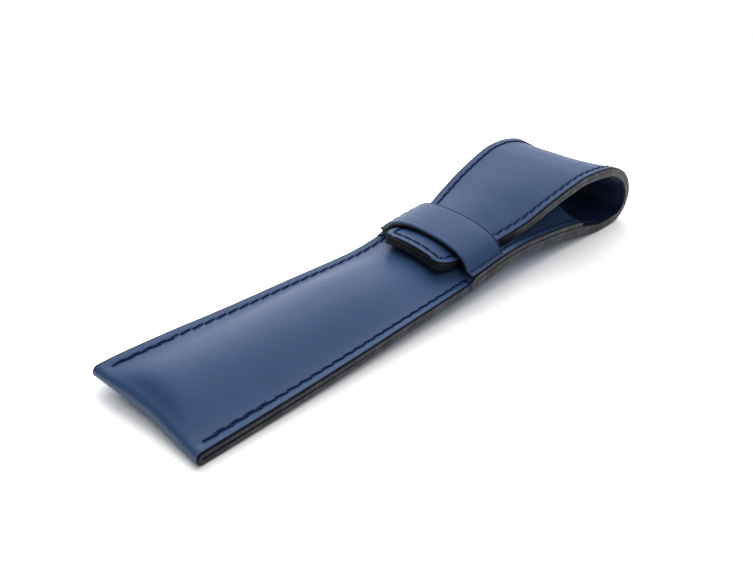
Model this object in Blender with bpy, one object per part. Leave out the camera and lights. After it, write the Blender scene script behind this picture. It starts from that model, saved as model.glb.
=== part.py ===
"""Single-pen leather case with a looped flap, a tongue and a keeper band.

One outer strap runs front panel, bottom fold, back, loop, flap and tongue.
A second strip lines the loop, the flap and the tongue. The keeper band is
sewn over the front panel, and the tongue rests under it.
Frame: X across, Y along the length with the loop at +Y, Z up. Metres.
"""
import math

import bmesh
import bpy
from mathutils import Vector

MM = 0.001

# Leather, thread and the fits that follow from them (millimetres).
LEATHER = 1.3
CLEAR = 0.3
LAYER = LEATHER + CLEAR
TWO_LAYERS = LEATHER + LAYER
THREE_LAYERS = LEATHER + 2.0 * LAYER
THREAD_HALF = 0.25
LOCK_HALF = 0.15
THREAD_RISE = CLEAR + THREAD_HALF
STITCH_PITCH = 3.6
STITCH_BREAK = 0.4
SEAM_INSET = 2.35

# Plan sizes. A longer or shorter case takes it up in the pocket's plain part.
LENGTH = 187.9
PLAIN_START_Y = 12.0
PLAIN_END_Y = 80.0


def along(y):
    """Return where a place of the 187.9 mm case lies in a case of this LENGTH."""
    share = (y - PLAIN_START_Y) / (PLAIN_END_Y - PLAIN_START_Y)
    return y + min(1.0, max(0.0, share)) * (LENGTH - 187.9)


def placed(*pairs):
    """Return a table of (place, value) pairs for a case of this LENGTH."""
    return tuple((along(y), value) for y, value in pairs)


CENTRE_Y = 0.5 * (LENGTH + THREAD_RISE)
POCKET_HALF = 17.0
LOOP_HALF = 17.8
DOME_MARGIN = 3.2
MOUTH_Y = along(156.0)
LOOP_START_Y = along(172.0)
LINING_START_Y = along(117.5)
KEEPER_Y0 = along(95.0)
KEEPER_Y1 = along(110.5)
BEND_START_ARC = 6.5
BEND_END_Y = LENGTH - 7.9
TONGUE_Y = along(88.0)
SEAM_START_Y = 9.5

# Height of the right side edge's underside along the pocket and the strip.
EDGE_Z = placed((0, 0.0), (20, 0.6), (40, 1.4), (65, 2.8), (80, 3.6), (88, 4.0), (95, 4.5),
                (105, 5.6), (112, 6.1), (118, 6.2), (128, 5.6), (141, 4.6), (152, 3.2),
                (163, 1.1), (167, 0.25), (169.5, 0.0)) + ((LOOP_START_Y, 0.0),)
# Lift of the left bottom corner above the right one.
CORNER_LIFT = placed((0, 2.6), (32, 1.7), (65, 0.2), (75, 0.0)) + ((LOOP_START_Y, 0.0),)
# Rise of the front panel's middle over its side margins.
FRONT_DOME = placed((0, 0.0), (1.6, 0.5), (4, 1.5), (7, 2.4), (12, 3.2), (30, 3.9), (60, 3.6),
                    (80, 2.5), (88, 2.1), (95, 2.2), (112, 2.2), (120, 2.1), (128, 2.7),
                    (140, 3.9)) + ((MOUTH_Y, 4.5),)
# Drop of the back's middle under its side margins. The table stops it at zero.
BACK_BELLY = placed((0, 0.0), (1.6, 0.2), (6, 0.9), (14, 2.0), (25, 2.4), (40, 2.8), (65, 3.5),
                    (80, 4.2), (95, 5.1), (112, 6.6), (118, 6.7), (128, 6.0), (141, 4.6),
                    (152, 2.6), (163, 0.6), (168, 0.1)) + ((LOOP_START_Y, 0.0),)
# Stack of layers under the front panel's upper face at the sides.
FRONT_STACK = placed((0, TWO_LAYERS), (110, TWO_LAYERS), (117, THREE_LAYERS)) + (
    (MOUTH_Y, THREE_LAYERS),)
# Half width of the strap along the pocket, the strip and the loop.
BODY_HALF = placed((0, POCKET_HALF), (112, POCKET_HALF)) + (
    (MOUTH_Y, 0.4 * POCKET_HALF + 0.6 * LOOP_HALF), (LOOP_START_Y, LOOP_HALF))
# Half width of the flap and tongue.
FLAP_HALF = ((TONGUE_Y, 9.6),) + placed(
    (89.2, 10.7), (92, 11.5), (95, 11.9), (112, 12.6), (124, 14.1), (137, 15.6), (150, 16.9),
    (164, LOOP_HALF - 0.1)) + ((LOOP_START_Y, LOOP_HALF), (LENGTH + 1.0, LOOP_HALF))
# Rise of the flap's middle over its side edges.
FLAP_CROWN = placed((88, 0.7), (91, 1.6), (95, 2.2), (112, 2.2), (118, 2.0), (128, 1.5),
                    (140, 0.8), (152, 0.2), (160, 0.0)) + ((LENGTH, 0.0),)
# Outer face of loop, flap and tongue, from the table round the nose to the tip.
NOSE_LINE = ((LOOP_START_Y, 0.0), (LENGTH - 13.4, 0.0), (LENGTH - 9.9, 0.35),
             (LENGTH - 5.9, 1.5), (LENGTH - 2.5, 3.8), (LENGTH - 0.5, 7.0), (LENGTH, 10.2),
             (LENGTH - 1.1, 13.6), (LENGTH - 3.9, 16.8), (LENGTH - 7.9, 19.3),
             (LENGTH - 12.9, 21.2))
LOOP_LINE = NOSE_LINE + placed(
    (168, 22.6), (160, 23.0), (152, 22.5), (145, 21.3), (137.4, 19.5), (131, 17.7),
    (124, 15.7), (118, 14.5), (112, 12.7), (104, 11.7)) + ((KEEPER_Y0, 10.9), (TONGUE_Y, 11.8))

# Keeper band section.
KEEPER_HALF = 14.4
KEEPER_HEIGHT = 6.0
KEEPER_POWER = 3.0
FOOT_HALF = 16.9
FOOT_SKIVE = 0.7

# Mesh steps.
ACROSS = (-1.0, -0.9, -0.8, -0.62, -0.42, -0.2, 0.0, 0.2, 0.42, 0.62, 0.8, 0.9, 1.0)
FRONT_ROWS = [MOUTH_Y] + [along(y) for y in (
    151, 145, 138, 131, 125, 120, 115, 110.5, 103, 95, 88, 80, 70, 60, 48, 36, 25, 16, 10, 6.5, 4)]
BACK_ROWS = [along(y) for y in (
    4, 8, 14, 22, 32, 44, 56, 68, 80, 90, 100, 108, 114, 120, 128, 136, 144, 151,
    157, 163, 167, 169.5)] + [LOOP_START_Y]
FOLD_STEPS = 6
FOLD_Y = 1.6
LINING_ROWS = [LINING_START_Y] + [along(y) for y in (
    122, 128, 136, 144, 151, 157, 163, 167, 169.5)] + [LOOP_START_Y]
KEEPER_ROWS = [along(y) for y in (95, 98.9, 102.75, 106.6, 110.5)]
ARCH_STEPS = 10

MATERIALS = {
    "strap_leather": ((0.075, 0.115, 0.215), 0.48),
    "lining_leather": ((0.055, 0.085, 0.17), 0.55),
    "keeper_leather": ((0.075, 0.115, 0.215), 0.46),
    "thread": ((0.01, 0.012, 0.035), 0.7),
}


def interpolate(table, x):
    """Return the smooth value of a (position, value) table at x."""
    if x <= table[0][0]:
        return table[0][1]
    if x >= table[-1][0]:
        return table[-1][1]
    last = len(table) - 1
    i = max(k for k in range(last) if table[k][0] <= x)
    rises = [(table[k + 1][1] - table[k][1]) / (table[k + 1][0] - table[k][0])
             for k in range(last)]
    m0 = tangent(rises, i)
    m1 = tangent(rises, i + 1)
    h = table[i + 1][0] - table[i][0]
    t = (x - table[i][0]) / h
    a = table[i][1] * (1 + 2 * t) * (1 - t) ** 2
    b = table[i + 1][1] * t * t * (3 - 2 * t)
    c = h * (m0 * t * (1 - t) ** 2 - m1 * t * t * (1 - t))
    return a + b + c


def tangent(rises, k):
    """Return a slope at point k that never overshoots its neighbours."""
    if k == 0:
        return rises[0]
    if k == len(rises):
        return rises[-1]
    left = rises[k - 1]
    right = rises[k]
    if left * right <= 0:
        return 0.0
    return 2 * left * right / (left + right)


def loop_table():
    """Return the loop line as tables of y and z over its arc length."""
    arc = 0.0
    ys = []
    zs = []
    previous = LOOP_LINE[0]
    for point in LOOP_LINE:
        arc += math.hypot(point[0] - previous[0], point[1] - previous[1])
        ys.append((arc, point[0]))
        zs.append((arc, point[1]))
        previous = point
    return ys, zs


LOOP_Y, LOOP_Z = loop_table()
NOSE_ARC = max(LOOP_Y, key=lambda pair: pair[1])[0]


def arc_at_top(y):
    """Return the arc length where the upper run of the loop passes y."""
    tops = [p for p in LOOP_Y if p[0] >= NOSE_ARC]
    flipped = sorted((-p[1], p[0]) for p in tops)
    return interpolate(flipped, -y)


BEND_END_ARC = arc_at_top(BEND_END_Y)
FLAP_END_ARC = LOOP_Y[-1][0]


def bulge(x, half):
    """Return 1 in the middle of a sewn panel, falling to 0 at its margin."""
    t = min(1.0, abs(x) / (half - DOME_MARGIN))
    return (1 - t * t) ** 1.5


def edge_height(x, y):
    """Return the underside height of the side margins, with the twist."""
    half = interpolate(BODY_HALF, y)
    return interpolate(EDGE_Z, y) + interpolate(CORNER_LIFT, y) * (0.5 - 0.5 * x / half)


def back_under(x, y):
    """Return the height of the back's outer face."""
    half = interpolate(BODY_HALF, y)
    return max(0.0, edge_height(x, y) - interpolate(BACK_BELLY, y) * bulge(x, half))


def front_upper(x, y):
    """Return the height of the front panel's outer face."""
    half = interpolate(BODY_HALF, y)
    rise = interpolate(FRONT_DOME, y) * bulge(x, half)
    return edge_height(x, y) + interpolate(FRONT_STACK, y) + rise


def loop_point(arc, v):
    """Return the outer face of loop and flap at an arc length, v across."""
    y = interpolate(LOOP_Y, arc)
    z = interpolate(LOOP_Z, arc)
    if arc <= NOSE_ARC:
        return Vector((v * LOOP_HALF, y, z))
    x = v * interpolate(FLAP_HALF, y)
    return Vector((x, y, z + interpolate(FLAP_CROWN, y) * bulge(x, POCKET_HALF)))


def face_point(point_at, u, v, outward):
    """Return a surface point and its outward normal from a (u, v) function."""
    small = 0.02
    along = point_at(u + small, v) - point_at(u - small, v)
    side = point_at(u, v + small) - point_at(u, v - small)
    normal = side.cross(along).normalized()
    if normal.dot(outward) < 0:
        normal = -normal
    return point_at(u, v), normal


def row_at(y, height, outward):
    """Return one row of (point, normal) pairs across the body at y."""
    def point_at(u, v):
        x = v * interpolate(BODY_HALF, u)
        return Vector((x, u, height(x, u)))
    return [face_point(point_at, y, v, outward) for v in ACROSS]


def front_row(y):
    """Return one row of the front panel's outer face."""
    return row_at(y, front_upper, Vector((0, 0, 1)))


def back_row(y):
    """Return one row of the back's outer face."""
    return row_at(y, back_under, Vector((0, 0, -1)))


def fold_point(angle, v):
    """Return a point of the bottom fold's outer face."""
    x = v * POCKET_HALF
    top = front_upper(x, FOLD_Y)
    low = back_under(x, FOLD_Y)
    radius = 0.5 * (top - low)
    y = radius * (1 - math.cos(angle))
    return Vector((x, y, 0.5 * (top + low) + radius * math.sin(angle)))


def fold_rows():
    """Return the rows of the bottom fold, from the front to the back."""
    rows = []
    for step in range(FOLD_STEPS + 1):
        angle = math.pi * (0.5 - step / FOLD_STEPS)
        outward = Vector((0, -math.cos(angle), math.sin(angle)))
        rows.append([face_point(fold_point, angle, v, outward) for v in ACROSS])
    return rows


def loop_row(arc):
    """Return one row of the loop's outer face at an arc length."""
    return [face_point(loop_point, arc, v, loop_up(arc, v)) for v in ACROSS]


def loop_rows(start, end, steps):
    """Return rows along the loop line between two arc lengths."""
    return [loop_row(start + (end - start) * k / steps) for k in range(steps + 1)]


def offset_rows(rows, depth):
    """Return the points of the rows moved inward by a depth."""
    return [[point - normal * depth for point, normal in row] for row in rows]


def sheet_faces(bm, outer, inner):
    """Close two point grids into one sheet with a rim."""
    tops = [[bm.verts.new(p * MM) for p in row] for row in outer]
    unders = [[bm.verts.new(p * MM) for p in row] for row in inner]
    last_row = len(tops) - 1
    last_col = len(tops[0]) - 1
    for i in range(last_row):
        for j in range(last_col):
            bm.faces.new((tops[i][j], tops[i][j + 1], tops[i + 1][j + 1], tops[i + 1][j]))
            bm.faces.new((unders[i][j], unders[i + 1][j], unders[i + 1][j + 1], unders[i][j + 1]))
    for i in range(last_row):
        for j in (0, last_col):
            bm.faces.new((tops[i][j], tops[i + 1][j], unders[i + 1][j], unders[i][j]))
    for j in range(last_col):
        for i in (0, last_row):
            bm.faces.new((tops[i][j], tops[i][j + 1], unders[i][j + 1], unders[i][j]))


def finish_mesh(bm, name, material, origin=(0.0, 0.0, 0.0)):
    """Turn a bmesh into a named object with its own material."""
    bmesh.ops.translate(bm, verts=bm.verts, vec=(0.0, -CENTRE_Y * MM, 0.0))
    bmesh.ops.translate(bm, verts=bm.verts, vec=-Vector(origin))
    bmesh.ops.recalc_face_normals(bm, faces=bm.faces)
    mesh = bpy.data.meshes.new(name)
    bm.to_mesh(mesh)
    bm.free()
    for polygon in mesh.polygons:
        polygon.use_smooth = True
    obj = bpy.data.objects.new(name, mesh)
    bpy.context.scene.collection.objects.link(obj)
    obj.location = origin
    mesh.materials.append(make_material(name, material))
    return obj


def make_material(name, key):
    """Return a plain material of one kind for one piece."""
    colour, rough = MATERIALS[key]
    material = bpy.data.materials.new(name)
    material.use_nodes = True
    shader = material.node_tree.nodes["Principled BSDF"]
    shader.inputs["Base Color"].default_value = (colour[0], colour[1], colour[2], 1.0)
    shader.inputs["Roughness"].default_value = rough
    return material


def add_sheet(name, outer, depth, material, origin=(0.0, 0.0, 0.0)):
    """Build one leather sheet whose outer face starts at a depth."""
    bm = bmesh.new()
    sheet_faces(bm, offset_rows(outer, depth), offset_rows(outer, depth + LEATHER))
    return finish_mesh(bm, name, material, origin)


def ring_round(centre, side, rise, half):
    """Return the four points of a thread's section."""
    return [centre + side * half, centre + rise * half, centre - side * half, centre - rise * half]


def thread_rings(line):
    """Return the sections of a running thread, thin where it enters the leather."""
    rings = []
    last = len(line) - 1
    for k, (point, up) in enumerate(line):
        ahead = line[min(k + 1, last)][0]
        behind = line[max(k - 1, 0)][0]
        side = (ahead - behind).cross(up).normalized()
        rise = side.cross(ahead - behind).normalized()
        rings.append(ring_round(point, side, rise, LOCK_HALF))
        if k < last:
            middle = point.lerp(ahead, 0.5) + rise * (THREAD_HALF - LOCK_HALF)
            rings.append(ring_round(middle, side, rise, THREAD_HALF))
    return rings


def add_seam(name, line, origin=(0.0, 0.0, 0.0)):
    """Build one run of thread from (point, up) pairs, one per stitch end."""
    bm = bmesh.new()
    rings = [[bm.verts.new(p * MM) for p in ring] for ring in thread_rings(line)]
    for ring, after in zip(rings, rings[1:]):
        for k in range(4):
            n = (k + 1) % 4
            bm.faces.new((ring[k], ring[n], after[n], after[k]))
    bm.faces.new(rings[0])
    bm.faces.new(rings[-1])
    return finish_mesh(bm, name, "thread", origin)


def surface_line(height, inset, ys, side):
    """Return seam points over a body surface at the given lengths."""
    line = []
    up = Vector((0, 0, 1))
    for y in ys:
        x = side * (interpolate(BODY_HALF, y) - inset)
        line.append((Vector((x, y, height(x, y) + THREAD_RISE)), up))
    return line


def steps_between(start, end, pitch=STITCH_PITCH):
    """Return evenly stepped positions from start to end near the pitch."""
    count = max(1, round(abs(end - start) / pitch))
    return [start + (end - start) * k / count for k in range(count + 1)]


def loop_up(arc, v):
    """Return the outward direction of the loop line at an arc length."""
    small = 0.05
    along = loop_point(arc + small, v) - loop_point(arc - small, v)
    return Vector((-1, 0, 0)).cross(along).normalized()


def loop_seam(arcs, side, inset=SEAM_INSET, rise=THREAD_RISE):
    """Return seam points over the loop's outer face."""
    line = []
    for arc in arcs:
        half = LOOP_HALF
        if arc > NOSE_ARC:
            half = interpolate(FLAP_HALF, interpolate(LOOP_Y, arc))
        v = side * (half - inset) / half
        up = loop_up(arc, v)
        line.append((loop_point(arc, v) + up * rise, up))
    return line


def inner_seam(side):
    """Return seam points over the lining between the mouth and the bend."""
    line = []
    for y in steps_between(MOUTH_Y + STITCH_BREAK, LOOP_START_Y + BEND_START_ARC - CLEAR):
        x = side * (LOOP_HALF - SEAM_INSET)
        if y <= LOOP_START_Y:
            z = back_under(x, y)
        else:
            z = interpolate(LOOP_Z, y - LOOP_START_Y)
        line.append((Vector((x, y, z + TWO_LAYERS + THREAD_RISE)), Vector((0, 0, 1))))
    return line


def strap_body():
    """Build front panel, bottom fold, back and the loop's lower run."""
    rows = [front_row(y) for y in FRONT_ROWS]
    rows += fold_rows()
    rows += [back_row(y) for y in BACK_ROWS]
    rows += loop_rows(0.0, BEND_START_ARC, 2)[1:]
    return add_sheet("strap_body", rows, 0.0, "strap_leather")


def lining_body():
    """Build the lining from inside the pocket to the bend."""
    rows = [back_row(y) for y in LINING_ROWS]
    rows += loop_rows(0.0, BEND_START_ARC, 2)[1:]
    return add_sheet("lining_body", rows, LAYER, "lining_leather")


def bend_sheets(origin):
    """Build the strap and the lining round the loop's nose."""
    rows = loop_rows(BEND_START_ARC + CLEAR, BEND_END_ARC, 12)
    add_sheet("strap_bend", rows, 0.0, "strap_leather", origin)
    add_sheet("lining_bend", rows, LAYER, "lining_leather", origin)


def flap_arcs():
    """Return the arc lengths of the flap's rows, closer at the tip."""
    start = BEND_END_ARC + CLEAR
    tips = [arc_at_top(along(y)) for y in (110.5, 103, 95, 92, 89.2)]
    body = steps_between(start, tips[0], pitch=7.0)
    return body[:-1] + tips + [FLAP_END_ARC]


def flap_sheets(origin):
    """Build the strap and the lining of flap and tongue."""
    rows = [loop_row(arc) for arc in flap_arcs()]
    add_sheet("strap_flap", rows, 0.0, "strap_leather", origin)
    add_sheet("lining_flap", rows, LAYER, "lining_leather", origin)


def keeper_section(y):
    """Return the keeper's outer points across at y, with foot depths."""
    points = []
    foot = THREE_LAYERS
    low = edge_height(0.0, y) + foot
    for step in range(ARCH_STEPS + 1):
        angle = math.pi * step / ARCH_STEPS
        c = math.cos(angle)
        s = math.sin(angle)
        x = math.copysign(abs(c) ** (2 / KEEPER_POWER), c) * KEEPER_HALF
        z = abs(s) ** (2 / KEEPER_POWER) * KEEPER_HEIGHT
        points.append(Vector((x, y, low + z)))
    foot_in = KEEPER_HALF + 0.5 * LEATHER
    right = [Vector((FOOT_HALF, y, low)), Vector((foot_in, y, low))]
    left = [Vector((-foot_in, y, low)), Vector((-FOOT_HALF, y, low))]
    points[0].z += 0.4 * LEATHER
    points[-1].z += 0.4 * LEATHER
    return right + points + left


def keeper_inside(row):
    """Return the keeper's inner points: its section moved in by the leather."""
    points = []
    for k, point in enumerate(row):
        ahead = row[min(k + 1, len(row) - 1)]
        behind = row[max(k - 1, 0)]
        outward = Vector((0, 1, 0)).cross(ahead - behind).normalized()
        points.append(point - outward * LEATHER)
    return points


def keeper_band():
    """Build the keeper band over the tongue, sewn on by its two feet."""
    outer = [keeper_section(y) for y in KEEPER_ROWS]
    inner = [keeper_inside(row) for row in outer]
    for top, low in zip(outer, inner):
        floor = top[0].z - LEATHER
        for j in (0, 1, len(top) - 2, len(top) - 1):
            low[j] = Vector((top[j].x, top[j].y, floor))
        for j in (0, len(top) - 1):
            top[j].z = floor + FOOT_SKIVE
    bm = bmesh.new()
    sheet_faces(bm, outer, inner)
    return finish_mesh(bm, "keeper_band", "keeper_leather")


def keeper_top(x, y):
    """Return the height of the keeper's foot under its stitches."""
    return edge_height(0.0, y) + THREE_LAYERS


def side_seams(side, word):
    """Build the seams of one side of the case."""
    low = steps_between(SEAM_START_Y, KEEPER_Y0 - STITCH_BREAK)
    high = steps_between(KEEPER_Y1 + STITCH_BREAK, MOUTH_Y - STITCH_BREAK)
    add_seam("panel_seam_" + word, surface_line(front_upper, SEAM_INSET, low, side))
    add_seam("strip_seam_" + word, surface_line(front_upper, SEAM_INSET, high, side))
    doubled = [SEAM_START_Y + STITCH_PITCH * (0.5 + k) for k in range(5)]
    inset = SEAM_INSET + 2.0 * THREAD_HALF + STITCH_BREAK
    add_seam("backtack_" + word, surface_line(front_upper, inset, doubled, side))
    foot = steps_between(KEEPER_Y0 + STITCH_BREAK, KEEPER_Y1 - STITCH_BREAK)
    inset = POCKET_HALF - 0.5 * (KEEPER_HALF + FOOT_HALF) - 0.5 * THREAD_HALF
    add_seam("keeper_seam_" + word, surface_line(keeper_top, inset, foot, side))
    add_seam("back_seam_" + word, inner_seam(side))


def bend_seams(side, word, origin):
    """Build the seam round the nose of one side."""
    arcs = steps_between(BEND_START_ARC + 2.5, BEND_END_ARC - CLEAR)
    add_seam("bend_seam_" + word, loop_seam(arcs, side), origin)


def flap_seams(side, word, origin):
    """Build the seam along one side of the flap."""
    arcs = steps_between(BEND_END_ARC + CLEAR, arc_at_top(TONGUE_Y + SEAM_INSET))
    add_seam("flap_seam_" + word, loop_seam(arcs[:-1], side), origin)


def tongue_seam(origin):
    """Build the seam across the tongue's tip."""
    arc = arc_at_top(TONGUE_Y + SEAM_INSET)
    half = interpolate(FLAP_HALF, TONGUE_Y + SEAM_INSET)
    reach = (half - SEAM_INSET - 0.5) / half
    line = []
    for share in steps_between(-1.0, 1.0, pitch=0.4):
        v = share * reach
        up = loop_up(arc, v)
        line.append((loop_point(arc, v) + up * THREAD_RISE, up))
    add_seam("tongue_seam", line, origin)


def main():
    """Build every piece of the case."""
    for obj in list(bpy.data.objects):
        bpy.data.objects.remove(obj, do_unlink=True)
    nose_y = (LENGTH - CENTRE_Y) * MM
    swing_axis = (0.0, nose_y, interpolate(LOOP_Z, NOSE_ARC) * MM)
    rest = (0.0, 0.0, 0.0)
    strap_body()
    lining_body()
    keeper_band()
    bend_sheets(rest)
    flap_sheets(swing_axis)
    for side, word in ((-1, "left"), (1, "right")):
        side_seams(side, word)
        bend_seams(side, word, rest)
        flap_seams(side, word, swing_axis)
    tongue_seam(swing_axis)


main()
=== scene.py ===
"""Dressed model of a single-pen leather case: smooth navy leather, dark edges, sewn sides.

The outer strap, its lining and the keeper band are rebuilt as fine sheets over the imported
solids, with rounded dyed edges, pressed seam channels and running stitches.
Sizes are in millimetres in the case's own frame: Y starts at the bottom fold.
"""
import logging
import math
from dataclasses import dataclass
from enum import Enum

import bmesh
import bpy
import numpy as np
from mathutils import Matrix, Vector


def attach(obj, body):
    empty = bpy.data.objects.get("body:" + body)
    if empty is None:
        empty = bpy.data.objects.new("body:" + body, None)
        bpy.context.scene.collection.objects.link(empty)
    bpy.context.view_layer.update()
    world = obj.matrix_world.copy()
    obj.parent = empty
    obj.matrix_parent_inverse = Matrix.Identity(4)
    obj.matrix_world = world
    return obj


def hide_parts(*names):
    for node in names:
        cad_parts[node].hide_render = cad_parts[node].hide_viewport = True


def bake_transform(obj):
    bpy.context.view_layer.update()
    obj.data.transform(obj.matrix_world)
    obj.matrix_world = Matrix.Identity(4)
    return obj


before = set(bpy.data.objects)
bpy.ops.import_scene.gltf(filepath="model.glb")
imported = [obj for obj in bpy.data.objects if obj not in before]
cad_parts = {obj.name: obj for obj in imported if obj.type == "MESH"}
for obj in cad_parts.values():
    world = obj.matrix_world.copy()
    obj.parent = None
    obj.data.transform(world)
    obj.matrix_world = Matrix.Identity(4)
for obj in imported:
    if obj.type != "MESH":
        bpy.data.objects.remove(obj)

LOG = logging.getLogger("pen_case")
MM = 0.001

Colour = tuple[float, float, float, float]
Point = tuple[float, float, float]
Pairs = list[tuple[float, float]]


class Side(Enum):
    """The two long sides of the case."""

    LEFT = -1
    RIGHT = 1


@dataclass(frozen=True)
class CaseSizes:
    """Driving sizes of the case, in millimetres.

    Attributes:
        length: Place along the case where the loop turns back.
        centre_y: Place along the case of the frame's origin.
        leather: Thickness of one layer.
        layer: Depth from one layer's face to the next one's.
        two_layers: Thickness of a margin with two layers.
        three_layers: Thickness of a margin with three layers.
        pocket_half: Half width of the pocket.
        loop_half: Half width of the loop.
        dome_margin: Width of the flat margins beside a domed panel.
        mouth_y: Place of the pocket's mouth.
        loop_start_y: Place where the back turns into the loop.
        lining_start_y: Place where the lining starts.
        keeper_y0: Place of the keeper's low rim, at its middle.
        keeper_y1: Place of the keeper's upper rim, at its middle.
        skew: Slope across the case of the keeper, the tongue's tip and the lining's start.
        fold_skew: Slope across the case of the fold's right half.
        tongue_y: Place of the tongue's tip.
        fold_y: Radius of the bottom fold.
        seam_start_y: Place of the first stitch hole.
        seam_inset: Distance of the seams from the rims.
        pitch: Distance from one stitch hole to the next.
        edge_round: Rounding of a rim that shows.
        inner_round: Rounding of a rim that lies on another layer.
    """

    length: float = 187.9
    centre_y: float = 94.225
    leather: float = 1.44
    layer: float = 1.46
    two_layers: float = 2.9
    three_layers: float = 4.5
    pocket_half: float = 17.0
    loop_half: float = 17.8
    dome_margin: float = 3.2
    mouth_y: float = 156.0
    loop_start_y: float = 172.0
    lining_start_y: float = 94.6
    keeper_y0: float = 93.8
    keeper_y1: float = 109.3
    skew: float = 0.14
    fold_skew: float = 0.13
    tongue_y: float = 86.8
    fold_y: float = 1.6
    seam_start_y: float = 3.2
    seam_inset: float = 2.35
    pitch: float = 3.6
    edge_round: float = 0.3
    inner_round: float = 0.07


@dataclass(frozen=True)
class StrapForm:
    """Small shape values of the strap, in millimetres where they are lengths.

    Attributes:
        left_shoulder: Squareness of the front's left shoulder near the fold.
        shoulder_gain: What that squareness gains up the panel.
        shoulder_from: Place along the case where the gain starts.
        shoulder_run: Length over which it grows.
        margin_from: Distance from the middle where the margins' own layers start.
        margin_run: Width over which they replace the panel's.
        fold_run: Length over which the fold's roundness dies out.
        lean_run: Length over which the fold's lean dies out.
        lean_soft: Softness of the lean's start at the middle.
        pinch: Share of the thickness that the inner side loses in the fold.
        pinch_run: Half length of that pinch.
        right_from: Distance left of the middle where the right rim's flare starts.
        left_from: Distance left of the middle where the left rim's flare starts.
        left_flare: The left flare's share of the right one.
        nose_run: Length over which the flap's own shape sets in after the nose.
        tongue_from: Place along the case below which the tongue is cut askew.
        tongue_run: Length over which that grows.
    """

    left_shoulder: float = 2.1
    shoulder_gain: float = 1.3
    shoulder_from: float = 22.0
    shoulder_run: float = 40.0
    margin_from: float = 12.0
    margin_run: float = 2.3
    fold_run: float = 2.0
    lean_run: float = 14.0
    lean_soft: float = 3.0
    pinch: float = 0.16
    pinch_run: float = 3.0
    right_from: float = 1.0
    left_from: float = 14.5
    left_flare: float = 0.6
    nose_run: float = 4.0
    tongue_from: float = 102.0
    tongue_run: float = 10.0


@dataclass(frozen=True)
class KeeperSizes:
    """Sizes of the keeper band's section, in millimetres where they are lengths.

    Attributes:
        low_half: Half width of the arch at the rim towards the fold.
        high_half: Half width of the arch at the rim towards the loop.
        height: Height of the arch over its base.
        base: Height of that base over the underside of the case's margins.
        foot_half: Half width over the feet's tips.
        foot_shares: Places along a foot, from its tip to the arch.
        foot_heights: Heights of the foot over the base at these places.
        squareness: Power that gives the arch its shoulders.
        arch_from: Place where the arch leaves the foot, in half turns.
        arch_points: Number of points from there to the top.
        skive: Share of the thickness that is left at a foot's tip.
    """

    low_half: float = 15.4
    high_half: float = 16.1
    height: float = 6.8
    base: float = 3.85
    foot_half: float = 16.95
    foot_shares: tuple[float, ...] = (0.0, 0.3, 0.6, 0.9)
    foot_heights: tuple[float, ...] = (1.31, 1.5, 1.68, 1.92)
    squareness: float = 0.805
    arch_from: float = 0.08
    arch_points: int = 40
    skive: float = 0.52


SIZES = CaseSizes()


def soft_step(share: np.ndarray) -> np.ndarray:
    """Return a soft step from 0 to 1 for shares from 0 to 1."""
    return share * share * (3 - 2 * share)


def unit(vectors: np.ndarray) -> np.ndarray:
    """Return vectors scaled to a length of 1."""
    return vectors / np.linalg.norm(vectors, axis=-1, keepdims=True)


class Profile:
    """A smooth curve through (position, value) pairs, straight beyond its ends.

    Attributes:
        STEP: Spacing of the samples in millimetres.
    """

    STEP = 0.2

    def __init__(self, pairs: Pairs, soften: float = 0.0) -> None:
        """Sample the curve finely.

        Args:
            pairs: Positions and values, positions rising.
            soften: Width in millimetres of a final smoothing.
        """
        xs = np.array([p[0] for p in pairs], float)
        vs = np.array([p[1] for p in pairs], float)
        self.at = np.arange(xs[0], xs[-1] + 0.5 * self.STEP, self.STEP)
        self.value = self._hermite(xs, vs)
        if soften > 0:
            self.value = self._smoothed(soften)

    def _hermite(self, xs: np.ndarray, vs: np.ndarray) -> np.ndarray:
        """Draw a monotone cubic through the pairs.

        Args:
            xs: The pairs' positions.
            vs: The pairs' values.

        Returns:
            The curve's values at the samples.
        """
        rise = np.diff(vs) / np.diff(xs)
        slope = np.concatenate([[rise[0]], np.zeros(len(rise) - 1), [rise[-1]]])
        for k in range(1, len(rise)):
            left, right = rise[k - 1], rise[k]
            slope[k] = 2 * left * right / (left + right) if left * right > 0 else 0.0
        i = np.clip(np.searchsorted(xs, self.at, side="right") - 1, 0, len(rise) - 1)
        gap = xs[i + 1] - xs[i]
        t = np.clip((self.at - xs[i]) / gap, 0, 1)
        low = vs[i] * (1 + 2 * t) * (1 - t) ** 2 + slope[i] * gap * t * (1 - t) ** 2
        high = vs[i + 1] * t * t * (3 - 2 * t) - slope[i + 1] * gap * t * t * (1 - t)
        return low + high

    def _smoothed(self, width: float) -> np.ndarray:
        """Average the samples under a bell curve, with the ends kept straight.

        Args:
            width: Width of the bell in millimetres.

        Returns:
            The smoothed samples.
        """
        reach = max(1, int(round(1.5 * width / self.STEP)))
        bell = np.exp(-0.5 * (np.arange(-reach, reach + 1) * self.STEP / (0.5 * width)) ** 2)
        ahead = self.value[-1] + (self.value[-1] - self.value[-2]) * np.arange(1, reach + 1)
        behind = self.value[0] - (self.value[1] - self.value[0]) * np.arange(reach, 0, -1)
        padded = np.concatenate([behind, self.value, ahead])
        return np.convolve(padded, bell / bell.sum(), mode="valid")

    def __call__(self, x: np.ndarray) -> np.ndarray:
        """Read the curve.

        Args:
            x: Positions.

        Returns:
            The values there.
        """
        x = np.asarray(x, float)
        value = np.interp(x, self.at, self.value)
        first = (self.value[1] - self.value[0]) / self.STEP
        last = (self.value[-1] - self.value[-2]) / self.STEP
        value = value + np.minimum(x - self.at[0], 0) * first
        return value + np.maximum(x - self.at[-1], 0) * last


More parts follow.
